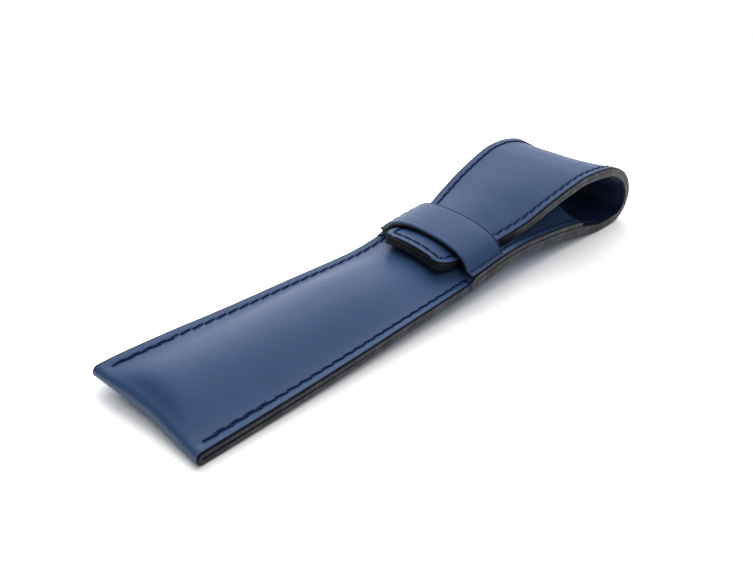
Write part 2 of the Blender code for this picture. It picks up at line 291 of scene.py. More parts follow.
class StrapSurface:
    """The outer strap's outer face as one sheet, from the mouth's lip to the tongue's tip.

    A point is given by s, the run along the strap from the lip, and x, the place across.

    Attributes:
        SMOOTHING: Offsets along the run and the weights that the face is averaged with.
        SHOULDER: Squareness of a panel's shoulders.
        SHOULDER_FALL: Power that eases the panel into its margins.
        TANGENT_STEP: Distance over which the loop line's direction is measured.
        NORMAL_STEP: Distance over which the face's normal is measured.
    """

    SMOOTHING = ((-0.9, 0.1), (-0.45, 0.22), (0.0, 0.36), (0.45, 0.22), (0.9, 0.1))
    SHOULDER = 2.0
    SHOULDER_FALL = 1.5
    TANGENT_STEP = 0.3
    NORMAL_STEP = 0.15

    def __init__(self, sizes: CaseSizes, form: StrapForm) -> None:
        """Set up the profiles of the strap.

        Args:
            sizes: Driving sizes of the case.
            form: Small shape values of the strap.
        """
        self.sizes = sizes
        self.form = form
        self._set_heights()
        self._set_widths()
        self._set_flap()
        self._set_loop()
        self.front_end = sizes.mouth_y - sizes.fold_y
        self.fold_end = self.front_end + math.pi * sizes.fold_y
        self.back_end = self.fold_end + sizes.loop_start_y - sizes.fold_y
        self.nose = self.back_end + self.split_arc
        self.tip = self.back_end + self.loop_arc

    def _set_heights(self) -> None:
        """Set the margins' height, the left one's lift, the panels' rise and the layers."""
        sizes, start = self.sizes, self.sizes.loop_start_y
        two, three = sizes.two_layers, sizes.three_layers
        self.edge = Profile([(0, 0.0), (20, 0.6), (40, 1.4), (65, 2.8), (80, 3.6), (88, 4.0),
                             (95, 4.5), (105, 5.6), (112, 6.1), (118, 6.2), (128, 5.6),
                             (141, 4.6), (152, 3.2), (163, 1.1), (167, 0.25), (169.5, 0.0),
                             (start, 0.0)], soften=5.0)
        self.lift = Profile([(0, 2.5), (6, 2.8), (16, 2.6), (22, 2.42), (28, 2.03), (41, 1.38),
                             (54, 0.75), (62, 0.33), (69, -0.11), (77, -0.53), (85, -0.78),
                             (90, -0.52), (96, 0.0), (start, 0.0)], soften=5.0)
        self.dome = Profile([(0, 0.0), (1.0, 0.5), (2.2, 1.45), (4, 2.5), (6, 3.05), (9, 3.35),
                             (13, 3.5), (20, 3.65), (30, 3.8), (60, 3.6), (80, 2.5), (88, 2.1),
                             (95, 2.2), (112, 2.2), (120, 2.1), (128, 2.7), (140, 3.9),
                             (sizes.mouth_y, 4.5)], soften=1.4)
        self.belly = Profile([(0, 0.0), (1.6, 0.2), (6, 0.9), (14, 2.0), (25, 2.4), (40, 2.8),
                              (65, 3.5), (80, 4.2), (95, 5.1), (112, 6.6), (118, 6.7),
                              (128, 6.0), (141, 4.6), (152, 2.6), (163, 0.6), (168, 0.1),
                              (start, 0.0)], soften=3.0)
        self.stack = Profile([(0, two), (114, two), (122, three), (sizes.mouth_y, three)])
        self.margin_stack = Profile([(0, two), (93.2, two), (96.2, three - 0.1), (111, three),
                                     (sizes.mouth_y, three)], soften=0.8)

    def _set_widths(self) -> None:
        """Set the half widths of the body and of the flap along the case."""
        sizes, start = self.sizes, self.sizes.loop_start_y
        pocket, loop, beyond = sizes.pocket_half, sizes.loop_half, sizes.length + 3
        self.body_half = Profile([(0, pocket), (112, pocket),
                                  (sizes.mouth_y, 0.4 * pocket + 0.6 * loop),
                                  (start, loop)], soften=6.0)
        self.flap_half = Profile([(sizes.tongue_y, 9.2), (87.9, 10.2), (90.5, 11.1), (95, 11.7),
                                  (108, 12.4), (112, 13.0), (115, 13.45), (118, 14.0),
                                  (124, 14.95), (131, 15.7), (137.4, 16.25), (145, 16.9),
                                  (152, 17.3), (158, 17.6), (164, loop - 0.05),
                                  (start, loop), (beyond, loop)], soften=3.0)

    def _set_flap(self) -> None:
        """Set the flap's crown, its rims' flare and its roll to one side."""
        tongue, beyond = self.sizes.tongue_y, self.sizes.length + 3
        self.crown = Profile([(tongue, 0.7), (91, 1.4), (95, 1.9), (112, 2.1), (118, 2.0),
                              (128, 1.5), (140, 0.8), (152, 0.2), (160, 0.0), (beyond, 0.0)],
                             soften=3.0)
        self.flare = Profile([(150, 0.0), (158, 0.2), (164, 0.8), (170.5, 1.5), (177, 1.7),
                              (182, 1.2), (186, 0.4), (190, 0.1)], soften=3.0)
        self.roll = Profile([(tongue, 0.25), (95, 0.2), (101, 0.0), (beyond, 0.0)],
                            soften=3.0)

    def _set_loop(self) -> None:
        """Set the loop line's y and z over its arc length, and where the nose lies on it."""
        start, end = self.sizes.loop_start_y, self.sizes.length
        line = [(start, 0.0), (end - 10.9, 0.0), (end - 6.2, 0.35), (end - 2.2, 1.5),
                (end + 0.3, 3.8), (end + 1.1, 7.0), (end + 0.3, 10.3), (end - 2.2, 13.3),
                (end - 6.3, 15.9), (end - 11.4, 18.1), (end - 17.4, 20.4), (164, 22.0),
                (158, 22.85), (152, 22.95), (145, 21.95), (137.4, 20.2), (131, 18.5),
                (124, 16.15), (118, 14.4), (112, 12.9), (104, 11.8), (98, 11.35), (95, 11.45),
                (91, 11.9), (self.sizes.tongue_y, 12.5)]
        split_at, nose_at = 3, 5
        points = np.array(line, float)
        arcs = np.concatenate([[0], np.cumsum(np.hypot(*np.diff(points, axis=0).T))])
        self.loop_y = Profile(list(zip(arcs, points[:, 0])), soften=2.4)
        self.loop_z = Profile(list(zip(arcs, points[:, 1])), soften=2.4)
        self.split_arc = float(arcs[split_at])
        self.nose_arc = float(arcs[nose_at])
        self.loop_arc = float(arcs[-1])

    def bulge(self, x: np.ndarray, half: np.ndarray,
              left: np.ndarray | float = SHOULDER) -> np.ndarray:
        """Give the rise across a sewn panel, 1 at its middle and 0 at its margins.

        Args:
            x: Places across.
            half: Half width of the panel.
            left: Squareness of the left shoulder.

        Returns:
            The share of the rise.
        """
        t = np.minimum(1.0, np.abs(x) / (half - self.sizes.dome_margin))
        return (1 - t ** np.where(x < 0, left, self.SHOULDER)) ** self.SHOULDER_FALL

    def edge_height(self, x: np.ndarray, y: np.ndarray) -> np.ndarray:
        """Return the underside height of the side margins, with the twist."""
        return self.edge(y) + self.lift(y) * (0.5 - 0.5 * x / self.body_half(y))

    def back_under(self, x: np.ndarray, y: np.ndarray) -> np.ndarray:
        """Return the height of the back's outer face."""
        drop = self.belly(y) * self.bulge(x, self.body_half(y))
        return np.maximum(0.0, self.edge_height(x, y) - drop)

    def front_upper(self, x: np.ndarray, y: np.ndarray) -> np.ndarray:
        """Give the height of the front panel's outer face.

        Args:
            x: Places across.
            y: Places along the case.

        Returns:
            The heights over the table.
        """
        form = self.form
        up = np.clip((y - form.shoulder_from) / form.shoulder_run, 0, 1)
        square = form.left_shoulder + form.shoulder_gain * up
        rise = self.dome(y) * self.bulge(x, self.body_half(y), square)
        share = soft_step(np.clip((np.abs(x) - form.margin_from) / form.margin_run, 0, 1))
        margin = self.margin_stack(y + self.sizes.skew * x)
        stack = self.stack(y) + (margin - self.stack(y)) * share
        return self.edge_height(x, y) + stack + rise

    def half(self, s: np.ndarray) -> np.ndarray:
        """Give the strap's half width along its run.

        Args:
            s: Places along the run.

        Returns:
            The half widths there.
        """
        s = np.asarray(s, float)
        body_y = np.where(s < self.front_end, self.sizes.mouth_y - s,
                          self.sizes.fold_y + np.maximum(0, s - self.fold_end))
        flap_y = self.loop_y(s - self.back_end)
        return np.where(s <= self.nose, self.body_half(np.minimum(body_y, self.sizes.loop_start_y)),
                        self.flap_half(flap_y))

    def raw(self, s: np.ndarray, x: np.ndarray) -> np.ndarray:
        """Give unsmoothed points of the face.

        Args:
            s: Places along the run.
            x: Places across.

        Returns:
            The points, in case millimetres.
        """
        s, x = np.broadcast_arrays(np.asarray(s, float), np.asarray(x, float))
        fold_y = self.sizes.fold_y
        top = self.front_upper(x, fold_y)
        low = self.back_under(x, fold_y)
        radius = 0.5 * (top - low)
        turn = np.clip((s - self.front_end) / (self.fold_end - self.front_end), 0, 1)
        angle = math.pi * (0.5 - turn)
        fold = np.stack([x, radius * (1 - np.cos(angle)),
                         0.5 * (top + low) + radius * np.sin(angle)], -1)
        front_y = self.sizes.mouth_y - s
        front = self._panel_points(x, front_y, self.front_upper(x, front_y), radius)
        back_y = fold_y + s - self.fold_end
        back = self._panel_points(x, back_y, self.back_under(x, back_y), radius)
        out = np.where((s < self.front_end)[..., None], front, fold)
        out = np.where((s > self.fold_end)[..., None], back, out)
        out[..., 1] -= self._lean(x, np.where(s < self.front_end, front_y, back_y))
        loop = self._loop_points(s - self.back_end, x)
        return np.where((s > self.back_end)[..., None], loop, out)

    def _panel_points(self, x: np.ndarray, y: np.ndarray, z: np.ndarray,
                      radius: np.ndarray) -> np.ndarray:
        """Give points of a panel that meets the fold's round end.

        Args:
            x: Places across.
            y: Places along the case.
            z: Heights of the panel's face.
            radius: Radius of the fold at each place across.

        Returns:
            The points, in case millimetres.
        """
        fold_y = self.sizes.fold_y
        shift = (radius - fold_y) * np.exp(-np.maximum(0, y - fold_y) / self.form.fold_run)
        return np.stack([x, y + shift, z], -1)

    def _lean(self, x: np.ndarray, y: np.ndarray) -> np.ndarray:
        """Give how far the fold's right half leans forward.

        Args:
            x: Places across.
            y: Places along the case.

        Returns:
            The shift towards the fold's end.
        """
        far = np.maximum(0, y) / self.form.lean_run
        lean = 0.5 * self.sizes.fold_skew * (x + np.hypot(x, self.form.lean_soft))
        return lean * np.exp(-far ** 2)

    def _loop_points(self, arc: np.ndarray, x: np.ndarray) -> np.ndarray:
        """Give points of the loop, with its rims flared and the flap crowned.

        Args:
            arc: Places along the loop line.
            x: Places across.

        Returns:
            The points, in case millimetres.
        """
        form, sizes, small = self.form, self.sizes, self.TANGENT_STEP
        y = self.loop_y(arc)
        ahead = self.loop_y(arc + small) - self.loop_y(arc - small)
        rise = self.loop_z(arc + small) - self.loop_z(arc - small)
        size = np.hypot(ahead, rise)
        past = np.clip((arc - self.nose_arc) / form.nose_run + 0.5, 0, 1)
        right = np.clip((x + form.right_from) / (sizes.loop_half + form.right_from), 0, 1) ** 2
        left = np.clip((-x - form.left_from) / (sizes.loop_half - form.left_from), 0, 1)
        out = self.flare(y) * (right + form.left_flare * left)
        out = out + self.crown(y) * self.bulge(x, sizes.pocket_half + 0 * x)
        out = past * (out - self.roll(y) * x / sizes.pocket_half)
        near_tip = np.clip((form.tongue_from - y) / form.tongue_run, 0, 1)
        turned = past * near_tip * sizes.skew * x
        return np.stack([x, y - turned + out * rise / size,
                         self.loop_z(arc) - out * ahead / size], -1)

    def point(self, s: np.ndarray, x: np.ndarray) -> np.ndarray:
        """Give points of the face, softened along the run.

        Args:
            s: Places along the run.
            x: Places across.

        Returns:
            The points, in case millimetres.
        """
        total = 0.0
        for offset, weight in self.SMOOTHING:
            total = total + weight * self.raw(np.asarray(s) + offset, x)
        return total

    def normal(self, s: np.ndarray, x: np.ndarray) -> np.ndarray:
        """Give outward unit normals of the face.

        Args:
            s: Places along the run.
            x: Places across.

        Returns:
            The normals.
        """
        small = self.NORMAL_STEP
        along = self.point(s + small, x) - self.point(s - small, x)
        across = self.point(s, x + small) - self.point(s, x - small)
        return unit(np.cross(along, across))

    def run_of_front(self, y: float) -> float:
        """Return s where the front panel passes y."""
        return self.sizes.mouth_y - y

    def run_of_back(self, y: float) -> float:
        """Return s where the back passes y."""
        return self.fold_end + y - self.sizes.fold_y

    def wrap(self, bm: bmesh.types.BMesh) -> None:
        """Bend a flat piece into place.

        Args:
            bm: The flat piece; its X is the run, Y the place across, Z the rise.
        """
        flat = np.array([v.co[:] for v in bm.verts])
        s, x, rise = flat[:, 0], flat[:, 1], flat[:, 2]
        far = (s - 0.5 * (self.front_end + self.fold_end)) / self.form.pinch_run
        pinch = 1 - self.form.pinch * np.exp(-far ** 4)
        rise = np.where(rise < 0, rise * pinch, rise)
        place(bm, self.point(s, x) + self.normal(s, x) * rise[:, None])


class KeeperSurface:
    """The keeper band's outer face: two feet on the margins and an arch over the tongue.

    A point is given by a, the run from the left foot's tip, and y, the place along the case at
    the band's middle; the band lies a little askew.

    Attributes:
        NORMAL_STEP: Distance over which the face's normal is measured.
    """

    NORMAL_STEP = 0.1

    def __init__(self, strap: StrapSurface, sizes: KeeperSizes) -> None:
        """Set up the band's section at its two rims.

        Args:
            strap: The surface that the feet are sewn to.
            sizes: Sizes of the section.
        """
        self.strap = strap
        self.sizes = sizes
        self.rims = (strap.sizes.keeper_y0, strap.sizes.keeper_y1)
        lines = [self._section(half) for half in (sizes.low_half, sizes.high_half)]
        line = 0.5 * (lines[0] + lines[1])
        arcs = np.concatenate([[0], np.cumsum(np.hypot(*np.diff(line, axis=0).T))])
        self.sections = [(Profile(list(zip(arcs, line[:, 0])), soften=0.7),
                          Profile(list(zip(arcs, line[:, 1])), soften=0.8)) for line in lines]
        self.length = float(arcs[-1])
        self.foot = float(arcs[len(sizes.foot_shares) - 1])

    def _section(self, half: float) -> np.ndarray:
        """Draw one section, from the left foot's tip to the right one's.

        Args:
            half: Half width of the arch.

        Returns:
            The section's points.
        """
        sizes = self.sizes
        turns = np.linspace(sizes.arch_from, 0.5, sizes.arch_points) * math.pi
        xs = -half * np.cos(turns) ** sizes.squareness
        zs = sizes.height * np.sin(turns) ** sizes.squareness
        reach = sizes.foot_half + xs[0]
        foot_x = -sizes.foot_half + np.array(sizes.foot_shares) * reach
        foot_z = np.array(sizes.foot_heights)
        left = np.stack([np.concatenate([foot_x, xs]), np.concatenate([foot_z, zs])], -1)
        return np.concatenate([left, left[-2::-1] * np.array([-1, 1])])

    def _between(self, axis: int, a: np.ndarray, y: np.ndarray) -> np.ndarray:
        """Read one coordinate of the section between the two rims.

        Args:
            axis: 0 for the place across, 1 for the height over the base.
            a: Runs from the left foot's tip.
            y: Places along the case.

        Returns:
            The coordinate's values.
        """
        share = (y - self.rims[0]) / (self.rims[1] - self.rims[0])
        return self.sections[0][axis](a) * (1 - share) + self.sections[1][axis](a) * share

    def across(self, a: np.ndarray, y: np.ndarray) -> np.ndarray:
        """Return the place across at a run a and a place y."""
        return self._between(0, a, y)

    def point(self, a: np.ndarray, y: np.ndarray) -> np.ndarray:
        """Give points of the band's outer face.

        Args:
            a: Runs from the left foot's tip.
            y: Places along the case at the band's middle.

        Returns:
            The points, in case millimetres.
        """
        x = self.across(a, y)
        y = y - self.strap.sizes.skew * x
        base = self.strap.edge_height(x, y) + self.sizes.base
        return np.stack([x, y, base + self._between(1, a, y + self.strap.sizes.skew * x)], -1)

    def normal(self, a: np.ndarray, y: np.ndarray) -> np.ndarray:
        """Give outward unit normals of the band's outer face.

        Args:
            a: Runs from the left foot's tip.
            y: Places along the case at the band's middle.

        Returns:
            The normals.
        """
        small = self.NORMAL_STEP
        across = self.point(a + small, y) - self.point(a - small, y)
        along = self.point(a, y + small) - self.point(a, y - small)
        return unit(np.cross(across, along))

    def wrap(self, bm: bmesh.types.BMesh) -> None:
        """Bend a flat band into place.

        Args:
            bm: The flat band; its X is the run a, Y the place y, Z the rise.
        """
        flat = np.array([v.co[:] for v in bm.verts])
        a, y, rise = flat[:, 0], flat[:, 1], flat[:, 2]
        tip = np.minimum(a, self.length - a)
        skive = self.sizes.skive + (1 - self.sizes.skive) * np.clip(tip / self.foot, 0, 1)
        rise = np.where(rise < 0, rise * skive, rise)
        place(bm, self.point(a, y) + self.normal(a, y) * rise[:, None])


def place(bm: bmesh.types.BMesh, points: np.ndarray) -> None:
    """Move a mesh's points into the frame.

    Args:
        bm: The mesh.
        points: The points' places in case millimetres, in the mesh's order.
    """
    points = (points - np.array([0.0, SIZES.centre_y, 0.0])) * MM
    for vert, point in zip(bm.verts, points):
        vert.co = point


def finish_piece(bm: bmesh.types.BMesh, name: str, materials: list[bpy.types.Material]) -> bpy.types.Object:
    """Make the finished object of a closed mesh.

    Args:
        bm: The closed mesh, in metres; it is freed.
        name: The piece's name.
        materials: Materials in the order of the faces' indices.

    Returns:
        The linked object.
    """
    mesh = bpy.data.meshes.new(name)
    bm.to_mesh(mesh)
    bm.free()
    for material in materials:
        mesh.materials.append(material)
    obj = bpy.data.objects.new(name, mesh)
    bpy.context.scene.collection.objects.link(obj)
    LOG.info("%s: %d faces", name, len(mesh.polygons))
    return obj


class Face(Enum):
    """Material index of a leather piece's faces."""

    TOP = 0
    RIM = 1
    UNDER = 2
    LIP = 3


@dataclass
class FlatLeather:
    """A piece of leather as it is cut, flat, before it is bent into place.

    Attributes:
        ROUND_STEPS: Number of steps in a rounded rim.
        SHARP: Least angle of a sharp edge, in radians.
        LEVEL: Least upward part of the normal of a level face.
        TILTED: Least upward part of the normal of a rounded corner's face.
        CLOSE: Distance under which two places are one.
        rows: Places of the rows along X.
        lines: Place of each column in Y, one array of columns for each row.
        thickness: Thickness of the leather.
        round_top: Width of the rounding at the top's rims.
        round_under: Width of the rounding at the underside's rims.
        open_start: True where the first row meets another piece.
        open_end: True where the last row meets another piece.
    """

    ROUND_STEPS = 3
    SHARP = 1.0
    LEVEL = 0.99
    TILTED = 0.2
    CLOSE = 1e-5

    rows: np.ndarray
    lines: np.ndarray
    thickness: float
    round_top: float
    round_under: float
    open_start: bool = False
    open_end: bool = False

    def cut(self) -> bmesh.types.BMesh:
        """Cut the piece, with its top at Z 0 and its rims rounded.

        Returns:
            The closed flat mesh.
        """
        bm = bmesh.new()
        count, columns = self.lines.shape
        bmesh.ops.create_grid(bm, x_segments=count - 1, y_segments=columns - 1, size=1.0)
        for vert in bm.verts:
            i = int(round(0.5 * (vert.co.x + 1) * (count - 1)))
            j = int(round(0.5 * (vert.co.y + 1) * (columns - 1)))
            vert.co = (self.rows[i], self.lines[i, j], 0.0)
        grown = bmesh.ops.extrude_face_region(bm, geom=bm.faces[:], use_keep_orig=True)
        lower = [g for g in grown["geom"] if isinstance(g, bmesh.types.BMVert)]
        bmesh.ops.translate(bm, verts=lower, vec=(0.0, 0.0, -self.thickness))
        bmesh.ops.recalc_face_normals(bm, faces=bm.faces[:])
        top = [e for e in bm.edges if self._is_rim(e, True)]
        under = [e for e in bm.edges if self._is_rim(e, False)]
        for rim, width in ((top, self.round_top), (under, self.round_under)):
            bmesh.ops.bevel(bm, geom=[e for e in rim if e.is_valid], offset=width,
                            segments=self.ROUND_STEPS, profile=0.5, affect="EDGES",
                            material=-1, clamp_overlap=True)
        bm.normal_update()
        for face in bm.faces:
            face.material_index = self._kind(face.normal.z).value
            face.smooth = not self._at_split(face)
        return bm

    def _kind(self, up: float) -> Face:
        """Tell what a face is from the way that it looks.

        Args:
            up: The upward part of the face's normal.

        Returns:
            The kind of face.
        """
        if abs(up) > self.LEVEL:
            return Face.TOP if up > 0 else Face.UNDER
        return Face.LIP if abs(up) > self.TILTED else Face.RIM

    def _is_rim(self, edge: bmesh.types.BMEdge, top: bool) -> bool:
        """Tell whether an edge is a sharp rim that no neighbour continues.

        Args:
            edge: The edge.
            top: True for the top's rim, False for the underside's.

        Returns:
            True for such a rim.
        """
        if len(edge.link_faces) != 2 or edge.calc_face_angle() < self.SHARP:
            return False
        if any((v.co.z > -0.5 * self.thickness) is not top for v in edge.verts):
            return False
        return not any(self._at_split(face) for face in edge.link_faces)

    def _at_split(self, face: bmesh.types.BMFace) -> bool:
        """Tell whether a face is an end that meets another piece.

        Args:
            face: The face.

        Returns:
            True for such an end.
        """
        at = [v.co.x for v in face.verts]
        first = self.open_start and max(at) < self.rows[0] + self.CLOSE
        last = self.open_end and min(at) > self.rows[-1] - self.CLOSE
        return first or last


class Blend(Enum):
    """Which bodies a piece lies between: the two bodies and the run in case millimetres."""

    LOOP = ("case", "loop", (0.0, 160.0, 0.0), (0.0, 181.0, 0.0))
    FLAP = ("loop", "flap", (0.0, 184.5, 1.5), (0.0, 172.0, 20.5))

    def apply(self, obj: bpy.types.Object) -> None:
        """Bake the piece's place into its mesh.

        Args:
            obj: The piece.
        """
        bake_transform(obj)


@dataclass
class StrapLayers:
    """The outer strap and the lining strip, each split only at the nose.

    Attributes:
        surface: Face that the layers follow.
        leather: Finish of the outer strap.
        lining: Finish of the lining strip, a near-black navy darkened partly as painted shade inside the
            loop.
        rims: Finishes of the rims of the case and of the flap; the flap's rims turn plain dark towards the
            tongue as painted shade.
        lip: Finish of the rims' rounded corners.
        inside: Finish of the strap's hidden side.
        step: Spacing of the rows.
        fold_step: Spacing of the rows round the fold.
        fold_gap: Least distance of those rows from the fold's end.
        least_step: Least distance of a row from an end row.
        groove: Depth that the seam presses into the leather.
        groove_width: Half width of that groove.
        dimple: Depth of a stitch hole.
        dimple_width: Radius of a stitch hole.
        groove_lead: Length of the groove before the first hole.
        skin: Depth to which the outer face's points are pressed.
        under_share: Share of the thickness past which the inner face's points are pressed.
        painted: Width at the face's very rim that the rim's dye covers.
        from_edge: Places of the columns near a rim.
        middle: Number of columns between them.
        askew_run: Length over which the lining's slanted start dies out.
    """

    surface: StrapSurface
    leather: bpy.types.Material
    lining: bpy.types.Material
    rims: tuple[bpy.types.Material, bpy.types.Material]
    lip: bpy.types.Material
    inside: bpy.types.Material
    step: float = 0.6
    fold_step: float = 0.35
    fold_gap: float = 0.1
    least_step: float = 0.2
    groove: float = 0.13
    groove_width: float = 0.55
    dimple: float = 0.2
    dimple_width: float = 0.45
    groove_lead: float = 2.5
    skin: float = 0.1
    under_share: float = 0.9
    painted: float = 0.52
    from_edge: tuple[float, ...] = (0.0, 0.52, 1.2, 1.8, 2.1, 2.35, 2.6, 2.85, 3.3, 4.0, 5.0)
    middle: int = 20
    askew_run: float = 12.0

    def build(self) -> None:
        """Build and dress the two halves of both layers."""
        face, sizes = self.surface, self.surface.sizes
        outer = [[self.leather, rim, self.inside, self.lip] for rim in self.rims]
        inner = [[self.inside, rim, self.lining, self.lip] for rim in self.rims]
        front = self._rows(0.0, face.front_end, face.run_of_front(sizes.seam_start_y))
        fold = np.arange(face.front_end + self.fold_step, face.fold_end - self.fold_gap,
                         self.fold_step)
        back = self._rows(face.fold_end, face.nose, face.run_of_back(sizes.seam_start_y))
        flap = self._rows(face.nose, face.tip, face.run_of_back(sizes.seam_start_y))
        start = face.run_of_back(sizes.lining_start_y)
        low = np.concatenate([front, fold, back])
        self._layer("outer_strap", low, 0.0, outer[0], Blend.LOOP, ("strap_body",))
        self._layer("outer_flap", flap, 0.0, outer[1], Blend.FLAP, ("strap_flap", "strap_bend"))
        run = np.concatenate([[start], back[back > start + self.least_step]])
        self._layer("lining_strip", run, sizes.layer, inner[0], Blend.LOOP, ("lining_body",))
        self._layer("lining_flap_side", flap, sizes.layer, inner[1], Blend.FLAP,
                    ("lining_flap", "lining_bend"))

    def _rows(self, start: float, end: float, hole: float) -> np.ndarray:
        """Space the rows so that they pass through the stitch holes.

        Args:
            start: Place of the first row.
            end: Place of the last row.
            hole: Place of any stitch hole.

        Returns:
            The rows' places.
        """
        steps = math.ceil((start + self.least_step - hole) / self.step)
        inner = np.arange(hole + steps * self.step, end - self.least_step, self.step)
        return np.concatenate([[start], inner, [end]])

    def _layer(self, name: str, rows: np.ndarray, depth: float,
               materials: list[bpy.types.Material], blend: Blend,
               nodes: tuple[str, ...]) -> None:
        """Cut, press and bend one layer into place, and hide the CAD nodes that it stands for.

        Args:
            name: The piece's name.
            rows: Places of the rows along the strap.
            depth: Depth of the layer's top under the strap's outer face.
            materials: Finishes of top, rim, underside and rounded corners.
            blend: The bodies that it lies between.
            nodes: CAD nodes that it stands for.
        """
        sizes = self.surface.sizes
        half = self.surface.half(rows)
        edge = np.array(self.from_edge)
        share = np.linspace(-1, 1, self.middle + 2)[1:-1]
        low = -half[:, None] + edge
        mid = (half[:, None] - edge[-1]) * share
        lines = np.concatenate([low, mid, -low[:, ::-1]], axis=1)
        seen, hidden = sizes.edge_round, sizes.inner_round
        top, under = (hidden, seen) if depth else (seen, hidden)
        flat = FlatLeather(rows, lines, sizes.leather, top, under,
                           open_start=blend is Blend.FLAP, open_end=blend is Blend.LOOP)
        bm = flat.cut()
        if not depth:
            self._paint(bm)
        self._press(bm, depth)
        bmesh.ops.translate(bm, verts=bm.verts[:], vec=(0.0, 0.0, -depth))
        if depth and blend is Blend.LOOP:
            self._slant(bm, rows[0])
        self.surface.wrap(bm)
        obj = finish_piece(bm, name, materials)
        blend.apply(obj)
        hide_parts(*nodes)

    def _slant(self, bm: bmesh.types.BMesh, start: float) -> None:
        """Cut the lining's start askew, in line with the keeper.

        Args:
            bm: The flat layer.
            start: Place of its first row.
        """
        for vert in bm.verts:
            near = max(0.0, 1 - (vert.co.x - start) / self.askew_run)
            vert.co.x -= self.surface.sizes.skew * vert.co.y * near

    def _paint(self, bm: bmesh.types.BMesh) -> None:
        """Give the face's very rim the dye that runs over from the cut edge.

        Args:
            bm: The flat layer.
        """
        centres = [face.calc_center_median() for face in bm.faces]
        half = self.surface.half(np.array([c.x for c in centres]))
        for face, centre, reach in zip(bm.faces, centres, half):
            if face.material_index == Face.TOP.value and abs(centre.y) > reach - self.painted:
                face.material_index = Face.LIP.value

    def _press(self, bm: bmesh.types.BMesh, depth: float) -> None:
        """Press the seam's groove and holes into the layer's seen face.

        Args:
            bm: The flat layer.
            depth: Depth of the layer's top under the strap's outer face.
        """
        face, sizes = self.surface, self.surface.sizes
        co = np.array([v.co[:] for v in bm.verts])
        inset = face.half(co[:, 0]) - np.abs(co[:, 1]) - sizes.seam_inset
        front = co[:, 0] < face.front_end
        hole = np.where(front, face.run_of_front(sizes.seam_start_y),
                        face.run_of_back(sizes.seam_start_y))
        phase = (co[:, 0] - hole + 0.5 * sizes.pitch) % sizes.pitch
        along = phase - 0.5 * sizes.pitch
        up = np.where(front, sizes.mouth_y - co[:, 0], co[:, 0] - face.fold_end)
        sewn = up > sizes.seam_start_y - self.groove_lead
        sink = self.groove * np.exp(-(inset / self.groove_width) ** 2)
        sink += self.dimple * np.exp(-(inset ** 2 + along ** 2) / self.dimple_width ** 2)
        seen = co[:, 2] < -self.under_share * sizes.leather if depth else co[:, 2] > -self.skin
        sign = 1.0 if depth else -1.0
        for vert, move in zip(bm.verts, np.where(seen & sewn, sign * sink, 0.0)):
            vert.co.z += move


